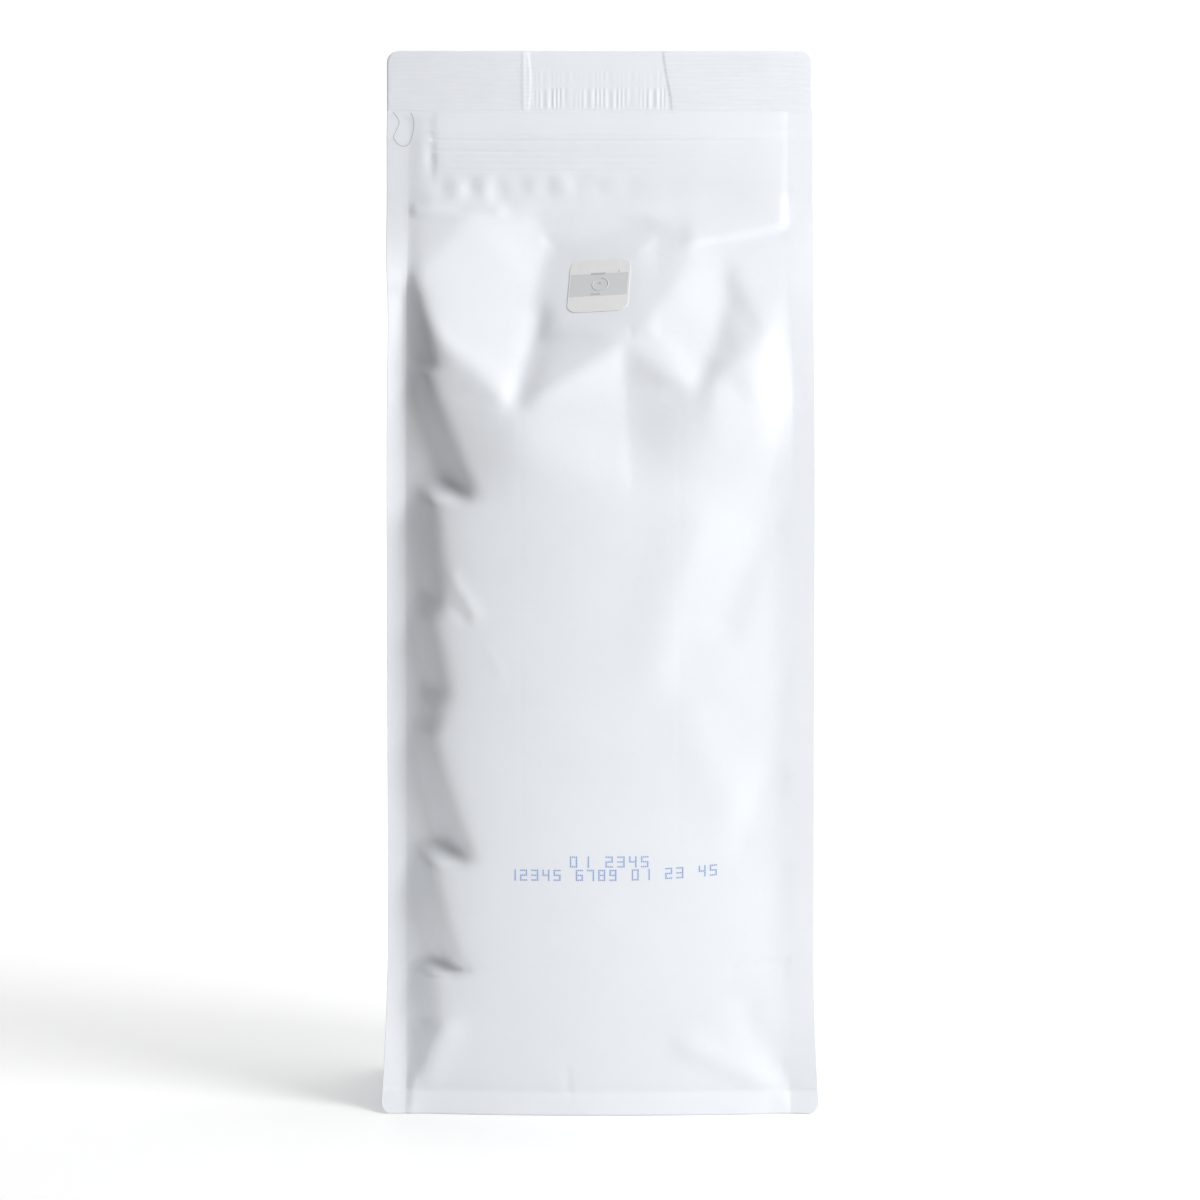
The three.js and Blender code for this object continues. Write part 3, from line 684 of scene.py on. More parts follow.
def film_rings(front, back):
    """Across and depth places of all rings, and their heights."""
    z = film_levels()
    fx, fy = half_ring(z, FRONT, BACK, front, FRONT_COLUMNS)
    bx, by = half_ring(z, BACK, FRONT, back, BACK_COLUMNS)
    return np.hstack([fx, -bx]), np.hstack([fy, -by]), z


def foot_rings(x, y):
    """Rings under the foot: the rim's flat edge, then the foot panel a little above the surface."""
    return [(x * scale, y * scale, height) for scale, height in FOOT_RINGS]


def mesh_piece(name, points, faces, material, smooth_faces=True):
    """A piece from millimetre points, with its place in its mesh."""
    mesh = bpy.data.meshes.new(name)
    mesh.from_pydata([tuple(float(c) * MM for c in p) for p in points], [], [tuple(f) for f in faces])
    mesh.validate()
    piece = bpy.data.objects.new(name, mesh)
    bpy.context.scene.collection.objects.link(piece)
    mesh.materials.append(material)
    for polygon in mesh.polygons:
        polygon.use_smooth = smooth_faces
    return piece


def ring_faces(rings, count):
    """Quads between rings of equal count, each ring counter-clockwise seen from above."""
    faces = []
    for r in range(rings - 1):
        for i in range(count):
            j = (i + 1) % count
            faces.append((r * count + i, r * count + j, (r + 1) * count + j, (r + 1) * count + i))
    return faces


def make_film(settings):
    """The bag from its foot to the top seal, as one closed skin."""
    x, y, z = film_rings(front_map(), back_map())
    count = x.shape[1]
    under = [np.column_stack([a, b, np.full(count, h)]) for a, b, h in foot_rings(x[0], y[0])]
    body = [np.column_stack([x[r], y[r], np.full(count, z[r])]) for r in range(len(z))]
    rings = under[::-1] + body
    points = np.vstack(rings + [[(0, 0, FOOT_RAISED)], [(0, 0, SEAL_BOTTOM)]])
    faces = ring_faces(len(rings), count)
    foot_middle = len(points) - 2
    top_middle = len(points) - 1
    last = (len(rings) - 1) * count
    faces += [(foot_middle, (i + 1) % count, i) for i in range(count)]
    faces += [(top_middle, last + i, last + (i + 1) % count) for i in range(count)]
    film = mesh_piece("bag_film", points, faces, laminated_film(settings))
    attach(film, "root")
    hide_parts("bag")
    return film


def seal_weights(x, z):
    """Where the side ribs and the middle crimps of the top seal are pressed."""
    after_left = smooth(x, STEP_LEFT + 0.8, STEP_LEFT + 1.8)
    between_steps = after_left * (1 - smooth(x, step_right(z) - 1.4, step_right(z) - 0.4))
    foot, top = SIDE_RIBS
    sides = (1 - between_steps) * smooth(z, foot, foot + 0.8) * (1 - smooth(z, top - 1, top))
    sides = sides * mix(0.7, 1, smooth(x, -30, 20))
    crimps = sum(strength * smooth(z, low, low + 0.8) * (1 - smooth(z, high - fade, high))
                 for low, high, fade, strength in CRIMP_ROWS)
    patchy = 0.6 + 0.25 * np.sin(x / 2.9 + 1) + 0.25 * np.sin(x / 1.7 - z / 3)
    return sides, between_steps * crimps * patchy


def step_right(z):
    """Where the right gusset's edge shows through the seal: it slants."""
    return mix(*STEP_RIGHT, smooth(z, SEAL_BOTTOM, BAG_HEIGHT))


def seal_surface(x, z):
    """Half thickness of the top seal, thicker where the gussets run up into it, and how it waves."""
    left_edge = STEP_LEFT + 0.9 * (1 - ((z - 333) / 10) ** 2)
    steps = 1 - smooth(x, left_edge - 0.35, left_edge + 0.35)
    steps = steps + smooth(x, step_right(z) - 0.35, step_right(z) + 0.35)
    edge = smooth(outline_half(z) - np.abs(x), 0, 0.8) * smooth(BAG_HEIGHT - z, 0, 0.5)
    line = 0.12 * np.exp(-(((x - STEP_LEFT + 1.5) / 0.6) ** 2))
    wave = SEAL_WAVE * np.sin(x / 19 + 0.6) * smooth(z, 326, 342)
    return SEAL_HALF + GUSSET_ADDS * steps + EDGE_ADDS * edge + line, wave


def make_seal(settings):
    """The pressed top seal, a closed slab whose ribs a node tree presses into both its faces."""
    columns, rows = 420, 40
    z = np.linspace(SEAL_BOTTOM - SEAL_OVERLAP, BAG_HEIGHT, rows + 1)[:, None]
    x = outline_half(z) * np.linspace(-1, 1, columns + 1)[None, :]
    z = np.broadcast_to(z, x.shape)
    half, wave = seal_surface(x, z)
    blend = 1 - smooth(z, SEAL_BOTTOM - SEAL_OVERLAP, SEAL_BOTTOM + 0.8)
    half = mix(half, SEAL_DEPTH - 0.1, blend)
    front = np.stack([x, -half + wave, z], -1).reshape(-1, 3)
    back = np.stack([x, half + wave, z], -1).reshape(-1, 3)
    width = columns + 1
    size = len(front)
    faces = []
    for r in range(rows):
        for c in range(columns):
            a = r * width + c
            faces.append((a, a + 1, a + width + 1, a + width))
            faces.append((size + a, size + a + width, size + a + width + 1, size + a + 1))
    rim = list(range(width))
    rim += [r * width + columns for r in range(1, rows + 1)]
    rim += [rows * width + c for c in range(columns - 1, -1, -1)]
    rim += [r * width for r in range(rows - 1, 0, -1)]
    faces += [(b, a, size + a, size + b) for a, b in zip(rim, rim[1:] + rim[:1])]
    seal = mesh_piece("top_seal", np.vstack([front, back]), faces, laminated_film(settings))
    sides, crimps = seal_weights(x, z)
    outward = np.concatenate([-np.ones(size), np.ones(size)])
    for name, weight in (("side_ribs", sides), ("middle_crimps", crimps)):
        values = np.tile(weight.reshape(-1), 2) * outward
        attribute = seal.data.attributes.new(name, "FLOAT", "POINT")
        attribute.data.foreach_set("value", values.astype(np.float32))
    tree = rib_tree(seal.data.materials[0])
    seal = grown(seal, tree, {"Rib pitch": settings.rib_pitch, "Crimp pitch": settings.crimp_pitch,
                              "Rib depth": settings.rib_depth})
    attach(seal, "root")
    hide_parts("bag")
    return seal


def add_node(tree, kind, settings=None, inputs=None):
    """Adds a node with its settings. An input gets a value, a socket, or another node's first output."""
    node = tree.nodes.new(kind)
    for key, value in (settings or {}).items():
        setattr(node, key, value)
    for key, value in (inputs or {}).items():
        source = value.outputs[0] if isinstance(value, bpy.types.Node) else value
        if isinstance(source, bpy.types.NodeSocket):
            tree.links.new(source, node.inputs[key])
        else:
            node.inputs[key].default_value = source
    return node


def new_tree(name, inputs):
    """An empty geometry tree with a geometry input and output and named size inputs."""
    tree = bpy.data.node_groups.new(name, "GeometryNodeTree")
    tree.interface.new_socket("Geometry", in_out="INPUT", socket_type="NodeSocketGeometry")
    for label, value in inputs.items():
        socket = tree.interface.new_socket(label, in_out="INPUT", socket_type="NodeSocketFloat")
        socket.default_value = value
    tree.interface.new_socket("Geometry", in_out="OUTPUT", socket_type="NodeSocketGeometry")
    return tree, add_node(tree, "NodeGroupInput"), add_node(tree, "NodeGroupOutput")


def finish_tree(tree, geometry, output, material):
    """Ends a tree with real geometry in its material."""
    real = add_node(tree, "GeometryNodeRealizeInstances", inputs={"Geometry": geometry})
    coated = add_node(tree, "GeometryNodeSetMaterial", inputs={"Geometry": real, "Material": material})
    tree.links.new(coated.outputs[0], output.inputs[0])


def rib_tree(material):
    """Presses ribs into the seal: level ones at its sides and upright crimps in its middle."""
    sizes = {"Rib pitch": RIB_PITCH, "Crimp pitch": CRIMP_PITCH, "Rib depth": RIB_DEPTH}
    tree, given, output = new_tree("Seal ribs", sizes)
    position = add_node(tree, "GeometryNodeInputPosition")
    place = add_node(tree, "ShaderNodeSeparateXYZ", inputs={0: position})
    across = place.outputs["X"]
    slant = add_node(tree, MATHS, TIMES, {0: across, 1: RIB_SLANT})
    level = add_node(tree, MATHS, MINUS, {0: place.outputs["Z"], 1: slant})
    swing = add_node(tree, MATHS, SINE, {0: add_node(tree, MATHS, TIMES, {0: across, 1: CRIMP_SWAY_TURNS})})
    sway = add_node(tree, MATHS, TIMES, {0: swing, 1: CRIMP_SWAY})
    uneven = add_node(tree, MATHS, PLUS, {0: across, 1: sway})
    waves = []
    for weight, pitch, run in (("side_ribs", "Rib pitch", level), ("middle_crimps", "Crimp pitch", uneven)):
        turns = add_node(tree, MATHS, OVER, {0: run, 1: given.outputs[pitch]})
        angle = add_node(tree, MATHS, TIMES, {0: turns, 1: 2 * math.pi})
        wave = add_node(tree, MATHS, SINE, {0: angle})
        share = add_node(tree, "GeometryNodeInputNamedAttribute", {"data_type": "FLOAT"}, {"Name": weight})
        waves.append(add_node(tree, MATHS, TIMES, {0: wave, 1: share}))
    both = add_node(tree, MATHS, PLUS, {0: waves[0], 1: waves[1]})
    height = add_node(tree, MATHS, TIMES, {0: both, 1: given.outputs["Rib depth"]})
    shift = add_node(tree, "ShaderNodeCombineXYZ", inputs={"Y": height})
    pressed = add_node(tree, "GeometryNodeSetPosition", inputs={"Geometry": given, "Offset": shift})
    finish_tree(tree, pressed, output, material)
    return tree


def grown(piece, tree, values):
    """Runs a geometry tree on a piece and keeps the result as a plain mesh."""
    modifier = piece.modifiers.new("Grown", "NODES")
    modifier.node_group = tree
    for item in tree.interface.items_tree:
        if item.in_out == "INPUT" and item.name in values:
            modifier[item.identifier] = values[item.name]
    bpy.context.view_layer.update()
    evaluated = piece.evaluated_get(bpy.context.evaluated_depsgraph_get())
    mesh = bpy.data.meshes.new_from_object(evaluated)
    piece.modifiers.clear()
    old = piece.data
    piece.data = mesh
    bpy.data.meshes.remove(old)
    mesh.name = piece.name
    return piece


def colour(code):
    """A linear colour from an sRGB hex value."""
    channels = [int(code[i:i + 2], 16) / 255 for i in (1, 3, 5)]
    linear = [c / 12.92 if c <= 0.04045 else ((c + 0.055) / 1.055) ** 2.4 for c in channels]
    return (*linear, 1.0)


def new_material(name):
    """An empty material with its shader."""
    material = bpy.data.materials.new(name)
    material.use_nodes = True
    material.node_tree.nodes.clear()
    output = add_node(material.node_tree, "ShaderNodeOutputMaterial")
    shader = add_node(material.node_tree, "ShaderNodeBsdfPrincipled")
    material.node_tree.links.new(shader.outputs[0], output.inputs["Surface"])
    return material, material.node_tree, shader


def laminated_film(settings):
    """Matt-lacquered white laminate: soft broad highlights, a fine lacquer grain and faint unevenness."""
    name = "matt_white_laminate"
    if name in bpy.data.materials:
        return bpy.data.materials[name]
    material, tree, shader = new_material(name)
    place = add_node(tree, "ShaderNodeTexCoord").outputs["Object"]
    cloud = add_node(tree, "ShaderNodeTexNoise", inputs={
        "Vector": place, "Scale": 1 / 0.022, "Detail": 3, "Roughness": 0.5}).outputs["Fac"]
    tint = add_node(tree, "ShaderNodeMix", {"data_type": "RGBA"}, {
        "Factor": cloud, 6: colour(settings.film_shade), 7: colour(settings.film_colour)})
    tree.links.new(tint.outputs[2], shader.inputs["Base Color"])
    uneven = add_node(tree, "ShaderNodeTexNoise", inputs={
        "Vector": place, "Scale": 1 / 0.0075, "Detail": 4, "Roughness": 0.55}).outputs["Fac"]
    grain = add_node(tree, "ShaderNodeTexNoise", inputs={
        "Vector": place, "Scale": 1 / 0.0006, "Detail": 2, "Roughness": 0.6}).outputs["Fac"]
    soft = add_node(tree, "ShaderNodeBump", inputs={"Height": uneven, "Strength": 0.7, "Distance": 0.00018})
    fine = add_node(tree, "ShaderNodeBump", inputs={
        "Height": grain, "Normal": soft, "Strength": 0.12, "Distance": 0.00003})
    tree.links.new(fine.outputs[0], shader.inputs["Normal"])
    worn = add_node(tree, "ShaderNodeMapRange", inputs={
        "Value": cloud, "From Min": 0.3, "From Max": 0.7,
        "To Min": settings.film_roughness - 0.04, "To Max": settings.film_roughness + 0.05})
    tree.links.new(worn.outputs[0], shader.inputs["Roughness"])
    shader.inputs["IOR"].default_value = 1.49
    return material


def plain_plastic(name, code, roughness, grain_size, grain_depth):
    """A moulded or printed plastic with a fine surface grain."""
    if name in bpy.data.materials:
        return bpy.data.materials[name]
    material, tree, shader = new_material(name)
    place = add_node(tree, "ShaderNodeTexCoord").outputs["Object"]
    grain = add_node(tree, "ShaderNodeTexNoise", inputs={
        "Vector": place, "Scale": 1 / (grain_size * MM), "Detail": 3, "Roughness": 0.5}).outputs["Fac"]
    bump = add_node(tree, "ShaderNodeBump", inputs={
        "Height": grain, "Strength": 0.3, "Distance": grain_depth * MM})
    tree.links.new(bump.outputs[0], shader.inputs["Normal"])
    varied = add_node(tree, "ShaderNodeMapRange", inputs={
        "Value": grain, "From Min": 0.3, "From Max": 0.7,
        "To Min": roughness - 0.05, "To Max": roughness + 0.05})
    tree.links.new(varied.outputs[0], shader.inputs["Roughness"])
    shader.inputs["Base Color"].default_value = colour(code)
    shader.inputs["IOR"].default_value = 1.5
    return material


def polyester_label(settings):
    """Thin frosted polyester over the white film: pale grey and a little glossy."""
    return plain_plastic("frosted_polyester_label", settings.label_colour, 0.32, 1.6, 0.01)


def vent_strip(settings):
    """The unglued strip of the label, where gas finds its way out: greyer than its stuck bands."""
    return plain_plastic("unglued_polyester_strip", settings.strip_colour, 0.38, 1.1, 0.01)


def vent_hole_shade_and_marks():
    """Flat grey at the vent hole, slots and pin: painted shade in the vent hole, and plain grey marks at the
    slots and pin.
    """
    return plain_plastic("vent_hole_shade_and_grey_marks", "#BDBFC1", 0.5, 0.4, 0.01)


def ring_plastic():
    """Clear film moulded into a low ring, which catches a small bright line."""
    return plain_plastic("clear_vent_ring", "#D2D4D5", 0.25, 0.6, 0.005)


def jet_ink():
    """Drops of pale blue marking ink, dried matt into the lacquer."""
    return plain_plastic("dried_marking_ink", "#8FABE0", 0.55, 0.5, 0.01)


def on_label(right, up, out):
    """A place on the valve label, from its middle, right, up and out of its face."""
    turned_right = LABEL_RIGHT * math.cos(LABEL_TURN) + LABEL_UP * math.sin(LABEL_TURN)
    turned_up = LABEL_UP * math.cos(LABEL_TURN) - LABEL_RIGHT * math.sin(LABEL_TURN)
    return LABEL_MIDDLE + turned_right * right + turned_up * up + LABEL_OUT * (out - LABEL_GAP + 0.05)


def rounded_outline(half_width, half_height, radius, arc=8):
    """A rounded rectangle, counter-clockwise."""
    corners = ((1, 1, 0), (-1, 1, 90), (-1, -1, 180), (1, -1, 270))
    outline = []
    for sx, sy, start in corners:
        for i in range(arc + 1):
            a = math.radians(start + 90 * i / arc)
            outline.append((sx * (half_width - radius) + radius * math.cos(a),
                            sy * (half_height - radius) + radius * math.sin(a)))
    return outline


def plate_on_label(name, outline, low, high, material, bevel=0.08):
    """A thin closed plate on the label with a softened upper edge."""
    count = len(outline)
    middle = np.mean(outline, 0)
    shapes = [(0, low), (0, high - bevel), (bevel, high)]
    rings = []
    for inset, out in shapes:
        ring = []
        for u, v in outline:
            away = np.array([u, v]) - middle
            length = np.linalg.norm(away)
            u2, v2 = middle + away * (1 - inset / length)
            ring.append(on_label(u2, v2, out))
        rings.append(ring)
    points = [p for ring in rings for p in ring]
    faces = ring_faces(len(rings), count)
    faces.append(tuple(range(count))[::-1])
    faces.append(tuple(range((len(rings) - 1) * count, len(rings) * count)))
    piece = mesh_piece(name, points, faces, material, smooth_faces=False)
    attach(piece, "root")
    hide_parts("valve_label")
    return piece


def make_label(settings):
    """The degassing valve label: a stuck square with an unglued strip, a vent ring and its marks."""
    wide = settings.label_width / MM / 2
    tall = settings.label_height / MM / 2
    film = polyester_label(settings)
    top = tall - LABEL_RIM
    band_half = wide - LABEL_CORNER
    strip = box_outline(0, STRIP_UP, wide - LABEL_RIM, STRIP_HALF)
    band_high = box_outline(0, (top + BAND_HIGH_FOOT) / 2, band_half, (top - BAND_HIGH_FOOT) / 2)
    band_low = box_outline(0, (BAND_LOW_TOP - top) / 2, band_half, (BAND_LOW_TOP + top) / 2)
    plate_on_label("valve_label_film", rounded_outline(wide, tall, LABEL_CORNER), 0, LABEL_THICK, film)
    plate_on_label("valve_label_strip", strip, 0.1, 0.2, vent_strip(settings), 0.03)
    plate_on_label("valve_label_band_high", band_high, 0.1, 0.185, film, 0.03)
    plate_on_label("valve_label_band_low", band_low, 0.1, 0.185, film, 0.03)
    make_ring("valve_vent_ring", (0.4, 0.4), 2.6, 0.22)
    marks = vent_hole_shade_and_marks()
    # Painted shade: a flat grey disc stands for the dark of the vent hole.
    plate_on_label("valve_vent_hole", disc_outline((0.2, 0.9), 0.55), 0.15, 0.22, marks, 0.03)
    plate_on_label("valve_slot_high", box_outline(-0.6, 4.9, 2.4, 0.35), 0.15, 0.24, marks, 0.03)
    plate_on_label("valve_slot_low", box_outline(-0.9, -3.6, 1.6, 0.3), 0.15, 0.24, marks, 0.03)
    plate_on_label("valve_pin_mark", disc_outline((6.2, 5.6), 0.3), 0.15, 0.22, marks, 0.03)


def box_outline(right, up, half_width, half_height):
    """A square-cornered outline round a place, counter-clockwise."""
    corners = ((-1, -1), (1, -1), (1, 1), (-1, 1))
    return [(right + sx * half_width, up + sy * half_height) for sx, sy in corners]


def disc_outline(middle, radius, count=20):
    """A round outline, counter-clockwise."""
    return [(middle[0] + radius * math.cos(2 * math.pi * i / count),
             middle[1] + radius * math.sin(2 * math.pi * i / count)) for i in range(count)]


def make_ring(name, middle, radius, thick):
    """A thin ring moulded round the vent."""
    around, across = 40, 8
    points = []
    for i in range(around):
        a = 2 * math.pi * i / around
        for j in range(across):
            b = 2 * math.pi * j / across
            reach = radius + thick * math.cos(b)
            points.append(on_label(middle[0] + reach * math.cos(a), middle[1] + reach * math.sin(a),
                                   0.2 + thick * 0.6 * math.sin(b)))
    faces = []
    for i in range(around):
        for j in range(across):
            a, b = i * across, (i + 1) % around * across
            k = (j + 1) % across
            faces.append((a + j, b + j, b + k, a + k))
    piece = mesh_piece(name, points, faces, ring_plastic())
    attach(piece, "root")
    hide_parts("valve_label")
    return piece


def digit_dots(digit):
    """The dots of one number, on a grid of four columns and seven rows."""
    dots = set()
    for segment in SEGMENTS[digit]:
        (ax, az), (bx, bz) = SEGMENT_ENDS[segment]
        for i in range(4):
            dots.add((round(ax + (bx - ax) * i / 3), round(az + (bz - az) * i / 3)))
    return sorted(dots)


def code_row(text, left, low, pitch, climb):
    """Places of all dots of a row of numbers, which climbs a little towards its right end."""
    places = []
    for i, letter in enumerate(text):
        if letter == " ":
            continue
        for column, row in digit_dots(letter):
            x = left + (6 * i + column) * pitch[0]
            lift = climb * max(0, x) ** 2
            places.append((x, low + row * pitch[1] + lift))
    return places


def make_code(settings, grid):
    """Plain printed numbers as small ink dots on the film, copied over the dots' places by a node tree."""
    pitch = settings.dot_pitch / MM
    places = []
    for text, left, low, (wide, tall), climb in CODE_ROWS:
        places += code_row(text, left, low, (pitch * wide, pitch * tall), climb)
    x = np.array([p[0] for p in places])
    z = np.array([p[1] for p in places])
    depth = sample(grid, x, z)
    points = np.column_stack([x, -depth - 0.02, z])
    piece = mesh_piece("date_code", points, [], jet_ink())
    tree, given, output = new_tree("Printed dots", {"Dot size": DOT_SIZE})
    radius = add_node(tree, MATHS, OVER, {0: given.outputs["Dot size"], 1: 2.0})
    disc = add_node(tree, "GeometryNodeMeshCylinder", inputs={
        "Vertices": 10, "Depth": 0.00006, "Radius": radius})
    turn = add_node(tree, "ShaderNodeCombineXYZ", inputs={"X": math.pi / 2})
    dots = add_node(tree, "GeometryNodeInstanceOnPoints", inputs={
        "Points": given, "Instance": disc.outputs["Mesh"], "Rotation": turn})
    finish_tree(tree, dots, output, piece.data.materials[0])
    piece = grown(piece, tree, {"Dot size": settings.dot_size})
    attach(piece, "root")
    return piece


def curved(path, per_side=6):
    """A smooth line through given places."""
    points = [np.array(p, float) for p in path]
    ends = [2 * points[0] - points[1]] + points + [2 * points[-1] - points[-2]]
    line = []
    for a, b, c, d in zip(ends, ends[1:], ends[2:], ends[3:]):
        for i in range(per_side):
            t = i / per_side
            line.append(0.5 * (2 * b + (c - a) * t + (2 * a - 5 * b + 4 * c - d) * t**2
                               + (3 * b - a - 3 * c + d) * t**3))
    return line + [points[-1]]


def make_tear_tab(grid):
    """The cut line of the tear tab in the left sealed edge: a hair-thin raised burr along its path."""
    line = curved(TAB_PATH)
    sides, radius = 6, 0.12
    rings = []
    for i, place in enumerate(line):
        before = line[max(0, i - 1)]
        after = line[min(len(line) - 1, i + 1)]
        run = (after - before) / np.linalg.norm(after - before)
        depth = float(sample(grid, np.array([place[0]]), np.array([place[1]]))[0])
        ring = []
        for j in range(sides):
            a = 2 * math.pi * j / sides
            aside = radius * math.cos(a)
            ring.append((place[0] + run[1] * aside, -depth - 0.5 * radius * math.sin(a) - 0.01,
                         place[1] - run[0] * aside))
        rings.append(ring)
    points = [p for ring in rings for p in ring]
    faces = ring_faces(len(rings), sides)
    faces.append(tuple(range(sides))[::-1])
    faces.append(tuple(range((len(rings) - 1) * sides, len(rings) * sides)))
    piece = mesh_piece("tear_tab_cut", points, faces, cut_film())
    recalculate(piece)
    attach(piece, "root")
    return piece


def cut_film():
    """The bared edge of cut laminate, a little greyer than its lacquered face."""
    return plain_plastic("cut_laminate_edge", "#B9BDC2", 0.5, 0.5, 0.01)


def recalculate(piece):
    """Turns a closed mesh's faces outwards."""
    work = bmesh.new()
    work.from_mesh(piece.data)
    bmesh.ops.recalc_face_normals(work, faces=work.faces)
    work.to_mesh(piece.data)
    work.free()


def studio_sweep(settings):
    """Matt white sweep with painted light and shade: it glows though it is no lamp, and at the far left,
    where the camera can't see, it is painted dark as painted shade.
    """
    material, tree, shader = new_material("white_sweep_with_painted_light_and_shade")
    place = add_node(tree, "ShaderNodeTexCoord").outputs["Object"]
    fibre = add_node(tree, "ShaderNodeTexNoise", inputs={"Vector": place, "Scale": 40.0, "Detail": 2})
    bump = add_node(tree, "ShaderNodeBump", inputs={
        "Height": fibre.outputs["Fac"], "Strength": 0.03, "Distance": 0.001})
    tree.links.new(bump.outputs[0], shader.inputs["Normal"])
    shader.inputs["Roughness"].default_value = 0.9
    shader.inputs["Emission Color"].default_value = (1, 1, 1, 1)
    where = add_node(tree, "ShaderNodeSeparateXYZ", inputs={"Vector": place})
    # Along which axis each ramp runs, where it begins and ends, and its values there.
    ramps = (("Y", -0.3, 1.3, settings.floor_painted_glow, settings.wall_painted_glow), ("X", -0.5, -0.24, 0, 1),
             ("Y", 0.2, 1.0, 0, 1), ("Y", -0.5, -0.18, 0.1, 1))
    glow, aside, wall, before = [
        add_node(tree, "ShaderNodeMapRange", {"interpolation_type": "SMOOTHSTEP"}, {
            "Value": where.outputs[axis], "From Min": begin, "From Max": end, "To Min": low, "To Max": high})
        for axis, begin, end, low, high in ramps]
    sideways = add_node(tree, MATHS, {"operation": "MAXIMUM"}, {0: aside, 1: wall})
    # Painted light: the sweep glows though it is no lamp. It glows more on the wall behind the bag than on
    # the floor, falls to a tenth further in front of the bag, and stops at the far left.
    painted_glow_share = add_node(tree, MATHS, TIMES, {0: sideways, 1: before})
    shared = add_node(tree, MATHS, TIMES, {0: glow, 1: painted_glow_share})
    tree.links.new(shared.outputs[0], shader.inputs["Emission Strength"])
    # Painted shade: the floor at the far left, out of view, is painted dark so that less light reaches the
    # bag's left side.
    paint = add_node(tree, "ShaderNodeMix", {"data_type": "RGBA"}, {
        0: sideways, 6: colour(settings.painted_shade_colour), 7: colour(settings.floor_colour)})
    tree.links.new(paint.outputs[2], shader.inputs["Base Color"])
    return material


def make_sweep(settings):
    """Floor and back wall in one curved sheet."""
    front, back, height, bend, half, steps = -2.2, 2.6, 3.2, 1.2, 3.5, 12
    profile = [(front, 0.0), (0.0, 0.0)]
    for i in range(steps + 1):
        a = math.pi / 2 * i / steps
        profile.append((back - bend + bend * math.sin(a), bend - bend * math.cos(a)))
    profile.append((back, height))
    points = [(sx * half, y, z) for y, z in profile for sx in (-1, 1)]
    faces = [(2 * i, 2 * i + 1, 2 * i + 3, 2 * i + 2) for i in range(len(profile) - 1)]
    points = [(x / MM, y / MM, z / MM) for x, y, z in points]
    sweep = mesh_piece("studio_sweep", points, faces, studio_sweep(settings))


def add_light(name, place, target, size, power):
    """A softbox that looks at a place."""
    data = bpy.data.lights.new(name, "AREA")
    data.shape = "SQUARE"
    data.size = size
    data.energy = power
    light = bpy.data.objects.new(name, data)
    light.location = place
    light.rotation_euler = (Vector(target) - Vector(place)).to_track_quat("-Z", "Y").to_euler()
    light.visible_camera = False
    bpy.context.scene.collection.objects.link(light)
    return light


def make_lights(settings):
    """One softbox to the right of the camera, a broad one overhead, and low even light all round."""
    target = Vector((0, 0, BAG_HEIGHT * MM / 2))
    turn = settings.key_azimuth
    lift = settings.key_height
    away = Vector((math.sin(turn) * math.cos(lift), -math.cos(turn) * math.cos(lift), math.sin(lift)))
    add_light("key_softbox", target + away * settings.key_distance, target, KEY_SIZE, settings.key_power)
    add_light("overhead_softbox", OVERHEAD_PLACE, OVERHEAD_TARGET, OVERHEAD_SIZE, settings.overhead_power)
    world = bpy.data.worlds.new("studio_air")
    world.use_nodes = True
    tree = world.node_tree
    direction = add_node(tree, "ShaderNodeTexCoord").outputs["Generated"]
    towards = add_node(tree, "ShaderNodeSeparateXYZ", inputs={0: direction})
    side = add_node(tree, "ShaderNodeMapRange", inputs={
        "Value": towards.outputs["X"], "From Min": -1, "From Max": 0.25,
        "To Min": settings.ambient * settings.left_shade, "To Max": settings.ambient})
    height = add_node(tree, "ShaderNodeMapRange", inputs={
        "Value": towards.outputs["Z"], "From Min": 0, "From Max": 1,
        "To Min": 1, "To Max": settings.sky_rise})
    strength = add_node(tree, MATHS, TIMES, {0: side, 1: height})
    tree.nodes["Background"].inputs["Color"].default_value = (1, 1, 1, 1)
    tree.links.new(strength.outputs[0], tree.nodes["Background"].inputs["Strength"])
    bpy.context.scene.world = world


def make_camera():
    """The photograph's view: level with the bag's upper half, 1.5 m away, tilted down a little."""
    data = bpy.data.cameras.new("camera")
    data.sensor_fit = "HORIZONTAL"
    data.sensor_width = SENSOR_WIDTH_MM
    data.lens = SENSOR_WIDTH_MM * CAMERA_FOCAL_PX / PHOTO_WIDTH_PX
    camera = bpy.data.objects.new("camera", data)
    camera.location = (0, -CAMERA_DISTANCE, CAMERA_HEIGHT)
    camera.rotation_euler = (math.radians(90 - CAMERA_TILT), 0, 0)
    bpy.context.scene.collection.objects.link(camera)
    bpy.context.scene.camera = camera
    view = bpy.context.scene.view_settings
    view.view_transform = "Standard"
    view.look = "None"


class CoffeeBagFilm(bpy.types.PropertyGroup):
    """Colours and finish of the film, and the ribs of its seal"""
    film_colour: bpy.props.StringProperty(
        name="Film colour", description="Lighter shade of the white laminate, as sRGB hex",
        default="#EFF2F6")
    film_shade: bpy.props.StringProperty(
        name="Film shade", description="Darker shade of the white laminate, as sRGB hex",
        default="#EAEDF2")
    film_roughness: bpy.props.FloatProperty(
        name="Film roughness", description="How matt the lacquer is", default=0.42, min=0.05, max=1,
        subtype="FACTOR")
    rib_pitch: bpy.props.FloatProperty(
        name="Rib pitch", description="Spacing of the level ribs in the top seal", default=RIB_PITCH,
        unit="LENGTH", precision=5)
    crimp_pitch: bpy.props.FloatProperty(
        name="Crimp pitch", description="Spacing of the upright crimps in the middle of the seal",
        default=CRIMP_PITCH, unit="LENGTH", precision=5)
    rib_depth: bpy.props.FloatProperty(
        name="Rib depth", description="How far ribs and crimps stand out", default=RIB_DEPTH,
        unit="LENGTH", precision=5)


